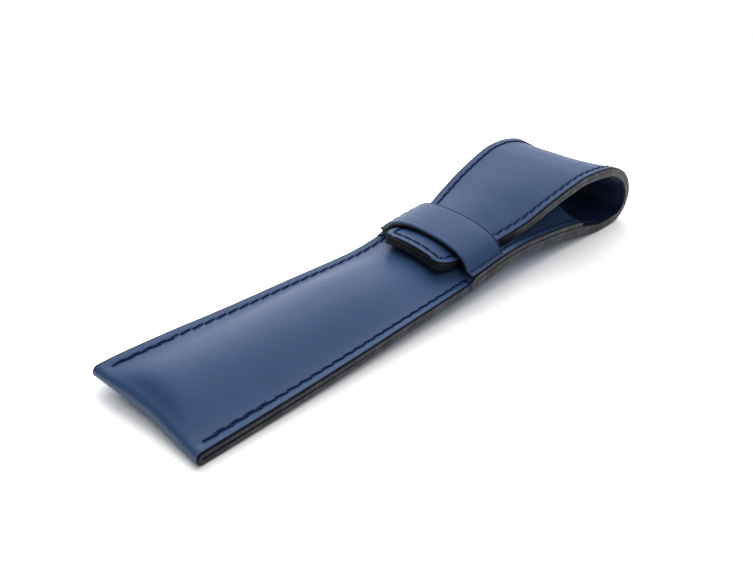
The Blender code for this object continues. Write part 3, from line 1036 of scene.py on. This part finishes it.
@dataclass
class Stitching:
    """The sewing thread of all seams, as stitches that dip into their holes.

    Attributes:
        surface: Face that the seams lie on.
        keeper: Face of the keeper band.
        thread: Finish of the thread.
        width: Half width of the thread.
        height: Half height of the thread.
        slant: Distance that a stitch's end lies beside the seam line.
        gap: Length that a stitch lacks at each end.
        arch: Rise of a stitch's middle over the leather.
        dip: Depth to which a stitch's end goes down.
        dip_power: Power that keeps the dip at the very end.
        bluntness: Power that keeps a stitch full towards its ends.
        fullness: Power that fills a stitch's section.
        mouth_gap: Distance of the panel's last hole from the mouth.
        doubled: Number of holes with doubled stitches at the fold.
        doubled_inset: Distance of the doubled stitches from the seam line.
        doubled_rise: Height of the doubled stitches over the leather.
        under_keeper: Length that the panel's seam runs on under the keeper.
        least_panel: Least length of a stitch before the keeper.
        least_strip: Least length of a stitch at the tongue's corners.
        loops: Distances from the keeper's low rim of the threads over the case's rim.
        loop_middle: Height of the middle of these threads over the strap's outer face.
        loop_reach: Half length of these threads down the rim.
        foot_x: Places across of the keeper's first and last hole.
        foot_gaps: Distances of these holes from the keeper's rims.
        foot_rise: Height of the keeper's stitches over the band.
        foot_holes: Number of holes in a foot of the keeper.
        foot_samples: Number of places that are tried for each of them.
        tongue_holes: Number of holes across the tongue.
        tongue_rise: Height of the tongue's stitches over the leather.
        sunk: Depth of the thread where the case lies on the table.
        sunk_to: Length of the loop up to which it stays that deep.
        sunk_run: Length over which it comes up.
    """

    ROUND = 8
    RINGS = 7
    TINY = 1e-6

    surface: StrapSurface
    keeper: KeeperSurface
    thread: bpy.types.Material
    width: float = 0.22
    height: float = 0.21
    slant: float = 0.24
    gap: float = 0.03
    arch: float = 0.1
    dip: float = 0.22
    dip_power: int = 6
    bluntness: float = 1.5
    fullness: float = 0.55
    mouth_gap: float = 0.3
    doubled: int = 5
    doubled_inset: float = 0.34
    doubled_rise: float = -0.02
    under_keeper: float = 0.6
    least_panel: float = 0.4
    least_strip: float = 0.8
    loops: tuple[float, float] = (0.12, 0.6)
    loop_middle: float = -1.3
    loop_reach: float = 1.5
    foot_x: tuple[float, float] = (15.75, 16.15)
    foot_gaps: tuple[float, float] = (0.4, 0.1)
    foot_rise: float = 0.16
    foot_holes: int = 5
    foot_samples: int = 2000
    tongue_holes: int = 6
    tongue_rise: float = 0.06
    sunk: float = 0.36
    sunk_to: float = 6.0
    sunk_run: float = 10.0

    def build(self) -> None:
        """Build the stitches of both sides and of the tongue."""
        for side in Side:
            self._panel(side)
            self._keeper(side)
            self._strip(side)
        self._tongue()

    def _stitch(self, bm: bmesh.types.BMesh, start: Vector, end: Vector, up: float = 1.0) -> None:
        """Add one stitch in the flat frame.

        Args:
            bm: The mesh that takes the stitch.
            start: Hole where it comes up.
            end: Hole where it goes down.
            up: 1 on the outer face, -1 on the inner face.
        """
        along = end - start
        middle = start.lerp(end, 0.5) + Vector((0.0, 0.0, self.arch * up))
        turn = math.atan2(along.y, along.x)
        size = Vector((0.5 * along.length - self.gap, self.width, self.height, 1.0))
        matrix = (Matrix.Translation(middle) @ Matrix.Rotation(turn, 4, "Z")
                  @ Matrix.Diagonal(size))
        made = bmesh.ops.create_uvsphere(bm, u_segments=self.ROUND, v_segments=self.RINGS,
                                         radius=1.0)
        for vert in made["verts"]:
            ball = vert.co.copy()
            ring = math.hypot(ball.x, ball.y)
            run = math.copysign(1 - (1 - abs(ball.z)) ** self.bluntness, ball.z)
            fill = ring ** self.fullness / ring if ring > self.TINY else 0.0
            vert.co = matrix @ Vector((run, ball.x * fill, ball.y * fill))
            vert.co.z -= up * self.dip * run ** self.dip_power

    def _line(self, bm: bmesh.types.BMesh, places: Pairs, rise: float,
              up: float = 1.0, side: float = 1.0) -> None:
        """Add stitches between holes that follow each other.

        Args:
            bm: The mesh that takes the stitches.
            places: Holes as (run, across) pairs.
            rise: Height of the face over the strap's outer face.
            up: 1 on the outer face, -1 on the inner face.
            side: Sense of the slant.
        """
        for first, last in zip(places, places[1:]):
            tilt = Vector((0.0, self.slant * side, 0.0))
            self._stitch(bm, Vector((*first, rise)) - tilt, Vector((*last, rise)) + tilt, up)

    def _across(self, s: float, side: Side) -> float:
        """Return the seam's place across at a run s."""
        return side.value * (float(self.surface.half(s)) - self.surface.sizes.seam_inset)

    def _finish(self, bm: bmesh.types.BMesh, name: str, nodes: tuple[str, ...],
                blend: Blend | None = None) -> None:
        """Finish one set of stitches, and tie it to the case where it rides on it.

        Args:
            bm: The stitches.
            name: The piece's name.
            nodes: CAD nodes that it stands for.
            blend: The bodies that it lies between, or None where it rides on the case.
        """
        bmesh.ops.recalc_face_normals(bm, faces=bm.faces[:])
        for face in bm.faces:
            face.smooth = True
        obj = finish_piece(bm, name, [self.thread])
        if blend is None:
            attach(obj, "case")
        else:
            blend.apply(obj)
        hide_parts(*nodes)

    def _panel(self, side: Side) -> None:
        """Build the front panel's stitches, with the doubled ones at the fold.

        Args:
            side: The side that is sewn.
        """
        face, sizes = self.surface, self.surface.sizes
        bm = bmesh.new()
        ys = np.arange(sizes.seam_start_y, sizes.mouth_y - self.mouth_gap, sizes.pitch)
        shift = sizes.skew * side.value * sizes.pocket_half
        low, high = sizes.keeper_y0 - shift, sizes.keeper_y1 - shift
        for y in ys[:-1]:
            if low - self.least_panel < y < high:
                continue
            far = min(y + sizes.pitch, low + self.under_keeper) if y < low else y + sizes.pitch
            ends = [face.run_of_front(y), face.run_of_front(far)]
            self._line(bm, [(s, self._across(s, side)) for s in ends], 0.0, 1.0, side.value)
        doubled = [face.run_of_front(y) for y in ys[:self.doubled] + 0.5 * sizes.pitch]
        inset = self.doubled_inset * side.value
        places = [(s, self._across(s, side) - inset) for s in doubled]
        self._line(bm, places, self.doubled_rise, 1.0, -side.value)
        for back in self.loops:
            self._edge_loop(bm, face.run_of_front(low - back), side)
        face.wrap(bm)
        word = side.name.lower()
        self._finish(bm, f"panel_stitches_{word}",
                     (f"panel_seam_{word}", f"backtack_{word}", f"strip_seam_{word}"))

    def _edge_loop(self, bm: bmesh.types.BMesh, s: float, side: Side) -> None:
        """Add the thread that turns over the rim at the keeper's low corner.

        Args:
            bm: The mesh that takes the thread.
            s: Run of the thread along the strap.
            side: The side that it turns over.
        """
        rim = side.value * float(self.surface.half(s))
        self._stitch(bm, Vector((s, self._across(s, side), 0.0)), Vector((s, rim, 0.0)))
        matrix = (Matrix.Translation((s, rim, self.loop_middle))
                  @ Matrix.Diagonal((self.width, self.height, self.loop_reach, 1.0)))
        bmesh.ops.create_uvsphere(bm, u_segments=self.ROUND, v_segments=self.RINGS, radius=1.0,
                                  matrix=matrix)

    def _keeper(self, side: Side) -> None:
        """Build the stitches through one foot of the keeper.

        Args:
            side: The side of the foot.
        """
        sizes, count = self.surface.sizes, self.foot_holes
        bm = bmesh.new()
        arcs = np.linspace(0, self.keeper.length, self.foot_samples)
        low, high = sizes.keeper_y0 + self.foot_gaps[0], sizes.keeper_y1 - self.foot_gaps[1]
        ys = np.linspace(low, high, count)
        runs = [float(arcs[np.argmin(np.abs(self.keeper.across(arcs, y) - side.value * x))])
                for y, x in zip(ys, np.linspace(*self.foot_x, count))]
        holes = [Vector((run, y, self.foot_rise)) for run, y in zip(runs, ys)]
        for first, last in zip(holes, holes[1:]):
            self._stitch(bm, first, last)
        self.keeper.wrap(bm)
        word = side.name.lower()
        self._finish(bm, f"keeper_stitches_{word}", (f"keeper_seam_{word}",))

    def _strip(self, side: Side) -> None:
        """Build the stitches of back, loop and flap, on both faces.

        Args:
            side: The side that is sewn.
        """
        face, sizes = self.surface, self.surface.sizes
        start = face.run_of_back(sizes.seam_start_y)
        last = face.tip - sizes.seam_inset
        mouth = face.run_of_back(sizes.mouth_y)
        under = -sizes.layer - sizes.leather
        loop, flap = bmesh.new(), bmesh.new()
        for s in np.arange(start, last - self.least_strip, sizes.pitch):
            bm = loop if s + 0.5 * sizes.pitch < face.nose else flap
            far = min(s + sizes.pitch, last)
            places = [(s, self._across(s, side)), (far, self._across(far, side))]
            self._line(bm, places, self._rise(s), 1.0, side.value)
            if s > mouth:
                self._line(bm, places, under, -1.0, side.value)
        for bm in (loop, flap):
            face.wrap(bm)
        word = side.name.lower()
        self._finish(loop, f"loop_stitches_{word}", (f"back_seam_{word}", f"bend_seam_{word}"),
                     Blend.LOOP)
        self._finish(flap, f"flap_stitches_{word}", (f"flap_seam_{word}",), Blend.FLAP)

    def _rise(self, s: float) -> float:
        """Return the thread's height, pressed in where the case lies on the table."""
        past = (s - self.surface.back_end - self.sunk_to) / self.sunk_run
        return -self.sunk * (1 - min(1.0, max(0.0, past)))

    def _tongue(self) -> None:
        """Build the stitches across the tongue's tip."""
        face, sizes = self.surface, self.surface.sizes
        s = face.tip - sizes.seam_inset
        reach = self._across(s, Side.RIGHT)
        bm = bmesh.new()
        places = [(s, x) for x in np.linspace(-reach, reach, self.tongue_holes)]
        self._line(bm, places, self.tongue_rise, 1.0, 0.0)
        self._line(bm, places, -sizes.layer - sizes.leather, -1.0, 0.0)
        face.wrap(bm)
        self._finish(bm, "tongue_stitches", ("tongue_seam",), Blend.FLAP)


@dataclass
class Keeper:
    """The keeper band that holds the tongue.

    Attributes:
        surface: The band's outer face.
        leather: Finish of the face.
        rim: Finish of the rims.
        lip: Finish of the dark line along the upper rim: the dye's lap and painted shade where the band
            meets the flap.
        inside: Finish of the side towards the tongue.
        thickness: Thickness of the band.
        step: Spacing of the rows.
        middle: Number of columns between the creases.
        round_top: Rounding of the rims' outer corners.
        round_under: Rounding of the rims' inner corners.
        crease: Depth of the line pressed along each rim.
        crease_at: Distance of that line from the rim.
        crease_width: Half width of that line.
        skin: Depth to which the outer face's points are pressed.
        from_rim: Places of the columns near a rim.
    """

    surface: KeeperSurface
    leather: bpy.types.Material
    rim: bpy.types.Material
    lip: bpy.types.Material
    inside: bpy.types.Material
    thickness: float = 1.25
    step: float = 0.55
    middle: int = 14
    round_top: float = 0.42
    round_under: float = 0.12
    crease: float = 0.07
    crease_at: float = 1.5
    crease_width: float = 0.25
    skin: float = 0.1
    from_rim: tuple[float, ...] = (0.0, 0.9, 1.2, 1.5, 1.8, 2.2)

    def build(self) -> None:
        """Build and dress the band."""
        face, (low, high) = self.surface, self.surface.rims
        rows = np.linspace(0, face.length, int(face.length / self.step))
        edge = np.array(self.from_rim)
        middle = np.linspace(low + edge[-1], high - edge[-1], self.middle + 2)[1:-1]
        line = np.concatenate([low + edge, middle, high - edge[::-1]])
        lines = np.repeat(line[None, :], len(rows), axis=0)
        bm = FlatLeather(rows, lines, self.thickness, self.round_top, self.round_under).cut()
        self._dress(bm, high)
        self._crease(bm, low, high)
        face.wrap(bm)
        obj = finish_piece(bm, "keeper_strip", [self.leather, self.rim, self.inside, self.lip])
        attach(obj, "case")
        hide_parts("keeper_band")

    def _dress(self, bm: bmesh.types.BMesh, high: float) -> None:
        """Run the face's leather over the rounded corners, and paint a dark line along the upper rim: the
        dye's lap and painted shade where the band meets the flap.

        Args:
            bm: The flat band.
            high: Place of the upper rim.
        """
        for piece in bm.faces:
            if piece.normal.z < FlatLeather.TILTED:
                continue
            if piece.material_index == Face.LIP.value:
                piece.material_index = Face.TOP.value
            # Faces near the upper rim are coloured dark: the dye's lap and painted shade against the flap.
            elif piece.calc_center_median().y > high - self.from_rim[1]:
                piece.material_index = Face.LIP.value

    def _crease(self, bm: bmesh.types.BMesh, low: float, high: float) -> None:
        """Press a line along each rim.

        Args:
            bm: The flat band.
            low: Place of the low rim.
            high: Place of the upper rim.
        """
        for vert in bm.verts:
            inset = min(vert.co.y - low, high - vert.co.y) - self.crease_at
            if vert.co.z > -self.skin:
                vert.co.z -= self.crease * math.exp(-(inset / self.crease_width) ** 2)


class Value:
    """A shader socket that takes part in arithmetic."""

    def __init__(self, recipe: "Recipe", socket: bpy.types.NodeSocket) -> None:
        """Wrap a socket of a recipe's nodes.

        Args:
            recipe: The recipe that the socket's node belongs to.
            socket: The socket.
        """
        self.recipe = recipe
        self.socket = socket

    def _maths(self, operation: str, first: "Value | float", second: "Value | float") -> "Value":
        """Add a Math node.

        Args:
            operation: The node's operation.
            first: Its first value.
            second: Its second value.

        Returns:
            The node's value.
        """
        node = self.recipe.node("ShaderNodeMath", {"operation": operation},
                                {0: first, 1: second})
        return Value(self.recipe, node.outputs[0])

    def __add__(self, other: "Value | float") -> "Value":
        """Return self + other."""
        return self._maths("ADD", self, other)

    __radd__ = __add__

    def __sub__(self, other: "Value | float") -> "Value":
        """Return self - other."""
        return self._maths("SUBTRACT", self, other)

    def __rsub__(self, other: "Value | float") -> "Value":
        """Return other - self."""
        return self._maths("SUBTRACT", other, self)

    def __mul__(self, other: "Value | float") -> "Value":
        """Return self * other."""
        return self._maths("MULTIPLY", self, other)

    __rmul__ = __mul__


class Recipe:
    """The nodes of one material or of the world."""

    def __init__(self, owner: bpy.types.Material | bpy.types.World) -> None:
        """Start with no nodes.

        Args:
            owner: The material or world.
        """
        owner.use_nodes = True
        self.owner = owner
        self.tree = owner.node_tree
        self.tree.nodes.clear()

    @classmethod
    def of_material(cls, name: str) -> "Recipe":
        """Return the recipe of a new material."""
        return cls(bpy.data.materials.new(name))

    def node(self, kind: str, settings: dict | None = None,
             inputs: dict | None = None) -> bpy.types.Node:
        """Add one node.

        Args:
            kind: The node's type.
            settings: Properties to set first.
            inputs: Values or links, by the sockets' names or numbers.

        Returns:
            The node.
        """
        node = self.tree.nodes.new(kind)
        for key, value in (settings or {}).items():
            setattr(node, key, value)
        for key, value in (inputs or {}).items():
            if isinstance(value, Value):
                value = value.socket
            if isinstance(value, bpy.types.NodeSocket):
                self.tree.links.new(value, node.inputs[key])
            else:
                node.inputs[key].default_value = value
        return node

    def place(self) -> bpy.types.NodeSocket:
        """Return Object coordinates."""
        return self.node("ShaderNodeTexCoord").outputs["Object"]

    def noise(self, scale: float, detail: float = 2.0, roughness: float = 0.5) -> Value:
        """Add a noise.

        Args:
            scale: Its scale per metre.
            detail: Number of finer layers.
            roughness: Strength of the finer layers.

        Returns:
            The noise, from 0 to 1.
        """
        node = self.node("ShaderNodeTexNoise", {}, {
            "Vector": self.place(), "Scale": scale, "Detail": detail, "Roughness": roughness})
        return Value(self, node.outputs["Fac"])

    def mix(self, share: "Value | float", first: Colour, second: Colour) -> bpy.types.NodeSocket:
        """Return a mixed colour."""
        node = self.node("ShaderNodeMix", {"data_type": "RGBA"}, {0: share, 6: first, 7: second})
        return node.outputs[2]

    def blend(self, share: "Value | float", first: "Value | float",
              second: "Value | float") -> Value:
        """Return a mixed number."""
        node = self.node("ShaderNodeMix", {}, {0: share, 2: first, 3: second})
        return Value(self, node.outputs[0])

    def bump(self, height: Value, distance: float) -> bpy.types.NodeSocket:
        """Return a normal bumped by a height from 0 to 1 over a distance in metres."""
        inputs = {"Strength": 1.0, "Distance": distance, "Height": height}
        return self.node("ShaderNodeBump", {}, inputs).outputs["Normal"]

    def finish(self, inputs: dict) -> bpy.types.Material:
        """Close the recipe with one leather or thread shader.

        Args:
            inputs: Values or links of the shader's sockets.

        Returns:
            The material.
        """
        shader = self.node("ShaderNodeBsdfPrincipled", {}, inputs)
        self.node("ShaderNodeOutputMaterial", {}, {"Surface": shader.outputs["BSDF"]})
        return self.owner


@dataclass(frozen=True)
class SmoothLeather:
    """Smooth finished leather with a satin face.

    Attributes:
        name: The material's name.
        dark: Its colour in the darker clouds and pores.
        light: Its colour in the lighter ones.
        roughness: Mean roughness of the face.
        grain: Depth of the pores in metres.
        cloud_scale: Scale of the soft clouds per metre.
        cloud_from: Level of the clouds that gives the dark colour.
        cloud_share: Strength of the clouds in the colour.
        pore_scale: Scale of the pores per metre.
        pore_share: Strength of the pores in the colour.
        patch_scale: Scale of the duller and glossier patches per metre.
        patch_share: Strength of these patches.
        mirror: Strength of the face's mirroring.
    """

    name: str
    dark: Colour
    light: Colour
    roughness: float = 0.42
    grain: float = 0.00006
    cloud_scale: float = 90.0
    cloud_from: float = 0.3
    cloud_share: float = 1.6
    pore_scale: float = 2600.0
    pore_share: float = 0.9
    patch_scale: float = 700.0
    patch_share: float = 0.12
    mirror: float = 0.5

    def make(self) -> bpy.types.Material:
        """Make the material.

        Returns:
            The material.
        """
        recipe = Recipe.of_material(self.name)
        cloud = recipe.noise(self.cloud_scale, 3.0)
        pores = recipe.noise(self.pore_scale, 2.0, 0.6)
        patch = recipe.noise(self.patch_scale, 2.0)
        share = ((cloud - self.cloud_from) * self.cloud_share
                 + (pores - 0.5) * self.pore_share)
        smoothest = self.roughness - 0.5 * self.patch_share
        return recipe.finish({
            "Base Color": recipe.mix(share, self.dark, self.light),
            "Roughness": patch * self.patch_share + smoothest,
            "Normal": recipe.bump(pores, self.grain),
            "Specular IOR Level": self.mirror,
        })


@dataclass(frozen=True)
class DyedRim:
    """A cut edge that is dyed dark and rubbed, with a little fibre left; below a place along the case the
    fibre is hidden under plain dark, which on the flap's rim is painted shade.

    Attributes:
        name: The material's name.
        dark: Colour of the dye.
        light: Colour of the rubbed fibre.
        roughness: Mean roughness of the edge.
        shade_to: Place along the case, in metres, up to which the fibre is hidden and the rim is plain
            dark; on the flap's rim this is painted shade towards the tongue.
        fade: How fast the fibre shows past that place, per metre.
        fibre_scale: Scale of the fibre per metre.
        fibre_from: Level of the fibre that gives the dye's colour.
        fibre_share: Strength of the fibre in the colour.
        fibre_depth: Depth of the fibre in metres.
        patch_scale: Scale of the rubbed patches per metre.
        patch_share: Strength of these patches in the colour.
        dullness: Strength of the fibre in the roughness.
        mirror: Strength of the edge's mirroring.
    """

    name: str
    dark: Colour
    light: Colour
    roughness: float = 0.5
    shade_to: float = -0.1
    fade: float = 40.0
    fibre_scale: float = 1500.0
    fibre_from: float = 0.4
    fibre_share: float = 1.3
    fibre_depth: float = 0.00012
    patch_scale: float = 260.0
    patch_share: float = 1.2
    dullness: float = 0.2
    mirror: float = 0.2

    def make(self) -> bpy.types.Material:
        """Make the material.

        Returns:
            The material.
        """
        recipe = Recipe.of_material(self.name)
        fibre = recipe.noise(self.fibre_scale, 4.0, 0.7)
        patch = recipe.noise(self.patch_scale, 2.0)
        split = recipe.node("ShaderNodeSeparateXYZ", {}, {0: recipe.place()})
        # The rim is plain dark below a place along the case and shows its fibre past it: on the flap's rim
        # this is painted shade towards the tongue.
        out_of_shade = (Value(recipe, split.outputs[1]) - self.shade_to) * self.fade
        level = recipe.node("ShaderNodeClamp", {}, {0: out_of_shade})
        share = ((fibre - self.fibre_from) * self.fibre_share
                 + (patch - 0.5) * self.patch_share)
        share = share * Value(recipe, level.outputs[0])
        smoothest = self.roughness - 0.5 * self.dullness
        return recipe.finish({
            "Base Color": recipe.mix(share, self.dark, self.light),
            "Roughness": fibre * self.dullness + smoothest,
            "Normal": recipe.bump(fibre, self.fibre_depth),
            "Specular IOR Level": self.mirror,
        })


@dataclass(frozen=True)
class SewingThread:
    """Waxed sewing thread with a fine twist.

    Attributes:
        name: The material's name.
        dark: Colour in the twist's hollows.
        light: Colour on the twist's plies.
        roughness: Roughness of the wax.
        twist_scale: Scale of the twist per metre.
        twist_depth: Depth of the twist in metres.
    """

    name: str
    dark: Colour
    light: Colour
    roughness: float = 0.55
    twist_scale: float = 5200.0
    twist_depth: float = 0.00006

    def make(self) -> bpy.types.Material:
        """Make the material.

        Returns:
            The material.
        """
        recipe = Recipe.of_material(self.name)
        ply = recipe.noise(self.twist_scale, 1.0)
        return recipe.finish({
            "Base Color": recipe.mix(ply, self.dark, self.light),
            "Roughness": self.roughness,
            "Normal": recipe.bump(ply, self.twist_depth),
        })


@dataclass(frozen=True)
class Lamp:
    """A soft lamp that faces the case.

    Attributes:
        name: The lamp's name.
        at: Its place in metres.
        size: Its width in metres.
        power: Its power in watts.
        mirrored: False keeps its own reflection off the leather.
    """

    name: str
    at: Point
    size: float
    power: float
    mirrored: bool = False

    def hang(self) -> None:
        """Hang the lamp in the scene."""
        light = bpy.data.lights.new(self.name, "AREA")
        light.shape = "DISK"
        light.size = self.size
        light.energy = self.power
        lamp = bpy.data.objects.new(self.name, light)
        bpy.context.scene.collection.objects.link(lamp)
        lamp.visible_glossy = self.mirrored
        lamp.location = self.at
        lamp.rotation_euler = (-Vector(self.at)).to_track_quat("-Z", "Y").to_euler()


@dataclass
class Studio:
    """The white table, the soft lamps and the camera.

    Attributes:
        lamps: The soft lamps.
        table_radius: Radius of the table in metres.
        table_sides: Number of sides of its round rim.
        table_drop: Depth of the table under the case in metres.
        table_white: The table's colour as it lights the case.
        table_seen: The table's colour as it is seen.
        sky: Level of the room's even light.
        gloss_dim: Level that the leather mirrors from most of the room.
        gloss_bright: Level that it mirrors from the white backdrop.
        backdrop: Direction of that backdrop from the case.
        backdrop_from: Cosine of the angle from it at which it starts to show.
        lens: The camera's focal length in millimetres.
        sensor: The sensor's width in millimetres.
        near: Distance in metres from which the camera sees.
        stand: The camera's place in case millimetres.
        azimuth: Turn of its view to the left of the case's length, in degrees.
        elevation: Tilt of its view down to the case, in degrees.
        roll: Turn of the picture, in degrees.
    """

    lamps: tuple[Lamp, ...] = (
        Lamp("lamp_above", (-0.28, 0.46, 0.64), 1.2, 8.2),
        Lamp("lamp_left", (-0.75, 0.2, 0.4), 0.5, 2.6),
        Lamp("lamp_right", (0.36, -0.3, 0.7), 0.6, 1.6),
        Lamp("lamp_behind", (-0.9, 0.8, 0.36), 0.5, 0.5, mirrored=True),
    )
    table_radius: float = 0.5
    table_sides: int = 96
    table_drop: float = 0.00005
    table_white: float = 0.86
    table_seen: float = 1.4
    sky: float = 0.21
    gloss_dim: float = 0.05
    gloss_bright: float = 0.75
    backdrop: Point = (-0.57, 0.79, 0.23)
    backdrop_from: float = 0.6
    lens: float = 43.31
    sensor: float = 36.0
    near: float = 0.01
    stand: Point = (116.136, -94.93, 110.595)
    azimuth: float = 34.648
    elevation: float = 26.919
    roll: float = 7.022

    def build(self) -> None:
        """Set up the stage."""
        self._table()
        self._sky()
        for lamp in self.lamps:
            lamp.hang()
        self._camera()
        bpy.context.scene.view_settings.view_transform = "Standard"

    def _rays(self, recipe: Recipe, *names: str) -> Value:
        """Pick out some kinds of ray.

        Args:
            recipe: The recipe that takes the nodes.
            names: The kinds, by Light Path's sockets.

        Returns:
            1 for rays of these kinds and 0 for others.
        """
        path = recipe.node("ShaderNodeLightPath")
        total = Value(recipe, path.outputs[names[0]])
        for name in names[1:]:
            total = total + Value(recipe, path.outputs[name])
        return total

    def _table(self) -> None:
        """Make the white table."""
        recipe = Recipe.of_material("table_white")
        seen = self._rays(recipe, "Is Camera Ray", "Is Glossy Ray", "Is Transmission Ray")
        white = [(v, v, v, 1.0) for v in (self.table_white, self.table_seen)]
        plain = recipe.node("ShaderNodeBsdfDiffuse", {}, {"Color": recipe.mix(seen, *white)})
        recipe.node("ShaderNodeOutputMaterial", {}, {"Surface": plain.outputs[0]})
        bm = bmesh.new()
        bmesh.ops.create_circle(bm, cap_ends=True, segments=self.table_sides,
                                radius=self.table_radius)
        bmesh.ops.translate(bm, verts=bm.verts[:], vec=(0.0, 0.0, -self.table_drop))
        mesh = bpy.data.meshes.new("table")
        bm.to_mesh(mesh)
        bm.free()
        mesh.materials.append(recipe.owner)
        table = bpy.data.objects.new("table", mesh)
        bpy.context.scene.collection.objects.link(table)

    def _sky(self) -> None:
        """Light the room softly, with white behind the table."""
        world = bpy.data.worlds.new("room")
        bpy.context.scene.world = world
        recipe = Recipe(world)
        level = recipe.blend(self._rays(recipe, "Is Glossy Ray"), self.sky,
                             self._backdrop(recipe))
        level = recipe.blend(self._rays(recipe, "Is Camera Ray"), level, 1.0)
        back = recipe.node("ShaderNodeBackground", {}, {"Color": (1.0, 1.0, 1.0, 1.0),
                                                        "Strength": level})
        recipe.node("ShaderNodeOutputWorld", {}, {"Surface": back.outputs[0]})

    def _backdrop(self, recipe: Recipe) -> Value:
        """Shape the white backdrop that the leather mirrors.

        Args:
            recipe: The world's recipe.

        Returns:
            The level of each direction.
        """
        place = recipe.node("ShaderNodeTexCoord").outputs["Generated"]
        facing = recipe.node("ShaderNodeVectorMath", {"operation": "DOT_PRODUCT"},
                             {0: place, 1: self.backdrop})
        level = recipe.node("ShaderNodeMapRange", {"interpolation_type": "SMOOTHSTEP"}, {
            "Value": facing.outputs["Value"], "From Min": self.backdrop_from, "From Max": 1.0,
            "To Min": self.gloss_dim, "To Max": self.gloss_bright})
        return Value(recipe, level.outputs["Result"])

    def _camera(self) -> None:
        """Stand the camera where the photograph was taken from."""
        az, el, roll = (math.radians(v) for v in (self.azimuth, self.elevation, self.roll))
        ahead = Vector((-math.sin(az) * math.cos(el), math.cos(az) * math.cos(el),
                        -math.sin(el)))
        right = ahead.cross(Vector((0, 0, 1))).normalized()
        up = right.cross(ahead)
        level = math.cos(roll) * right + math.sin(roll) * up
        rise = -math.sin(roll) * right + math.cos(roll) * up
        turn = Matrix((level, rise, -ahead)).transposed()
        lens = bpy.data.cameras.new("camera")
        lens.lens = self.lens
        lens.sensor_width = self.sensor
        lens.clip_start = self.near
        camera = bpy.data.objects.new("camera", lens)
        bpy.context.scene.collection.objects.link(camera)
        stand = Vector(self.stand) - Vector((0.0, SIZES.centre_y, 0.0))
        camera.matrix_world = Matrix.Translation(stand * MM) @ turn.to_4x4()
        bpy.context.scene.camera = camera


def main() -> None:
    """Build and dress the pen case."""
    logging.basicConfig(level=logging.INFO, format="%(message)s")
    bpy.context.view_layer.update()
    navy = SmoothLeather("navy_leather", (0.038, 0.085, 0.2, 1.0),
                         (0.046, 0.096, 0.219, 1.0)).make()
    # The lining is a darker navy than the face, and is darkened further as painted shade inside the loop.
    lining = SmoothLeather("navy_lining_painted_shade", (0.006, 0.013, 0.045, 1.0),
                           (0.009, 0.018, 0.058, 1.0), 0.55).make()
    inside = SmoothLeather("navy_inside", (0.008, 0.012, 0.026, 1.0),
                           (0.014, 0.02, 0.04, 1.0), 0.65).make()
    rim = DyedRim("dyed_rim", (0.018, 0.02, 0.026, 1.0), (0.19, 0.2, 0.215, 1.0)).make()
    # The flap's rims turn plain dark towards the tongue's tip, as painted shade from the keeper.
    flap_rim_painted_shade = DyedRim("flap_rim_painted_shade", (0.012, 0.014, 0.019, 1.0), (0.19, 0.2, 0.215, 1.0),
                       shade_to=0.012).make()
    band_rim = DyedRim("band_rim", (0.008, 0.01, 0.014, 1.0), (0.04, 0.043, 0.045, 1.0)).make()
    # The lip finish also paints the keeper's line along its upper rim, partly as painted shade.
    lip = DyedRim("rubbed_lip_and_shade", (0.003, 0.005, 0.012, 1.0), (0.014, 0.02, 0.036, 1.0)).make()
    thread = SewingThread("navy_thread", (0.001, 0.006, 0.04, 1.0),
                          (0.006, 0.022, 0.11, 1.0)).make()
    strap = StrapSurface(SIZES, StrapForm())
    band = KeeperSurface(strap, KeeperSizes())
    StrapLayers(strap, navy, lining, (rim, flap_rim_painted_shade), lip, inside).build()
    Keeper(band, navy, band_rim, lip, inside).build()
    Stitching(strap, band, thread).build()
    Studio().build()


if __name__ == "__main__":
    main()
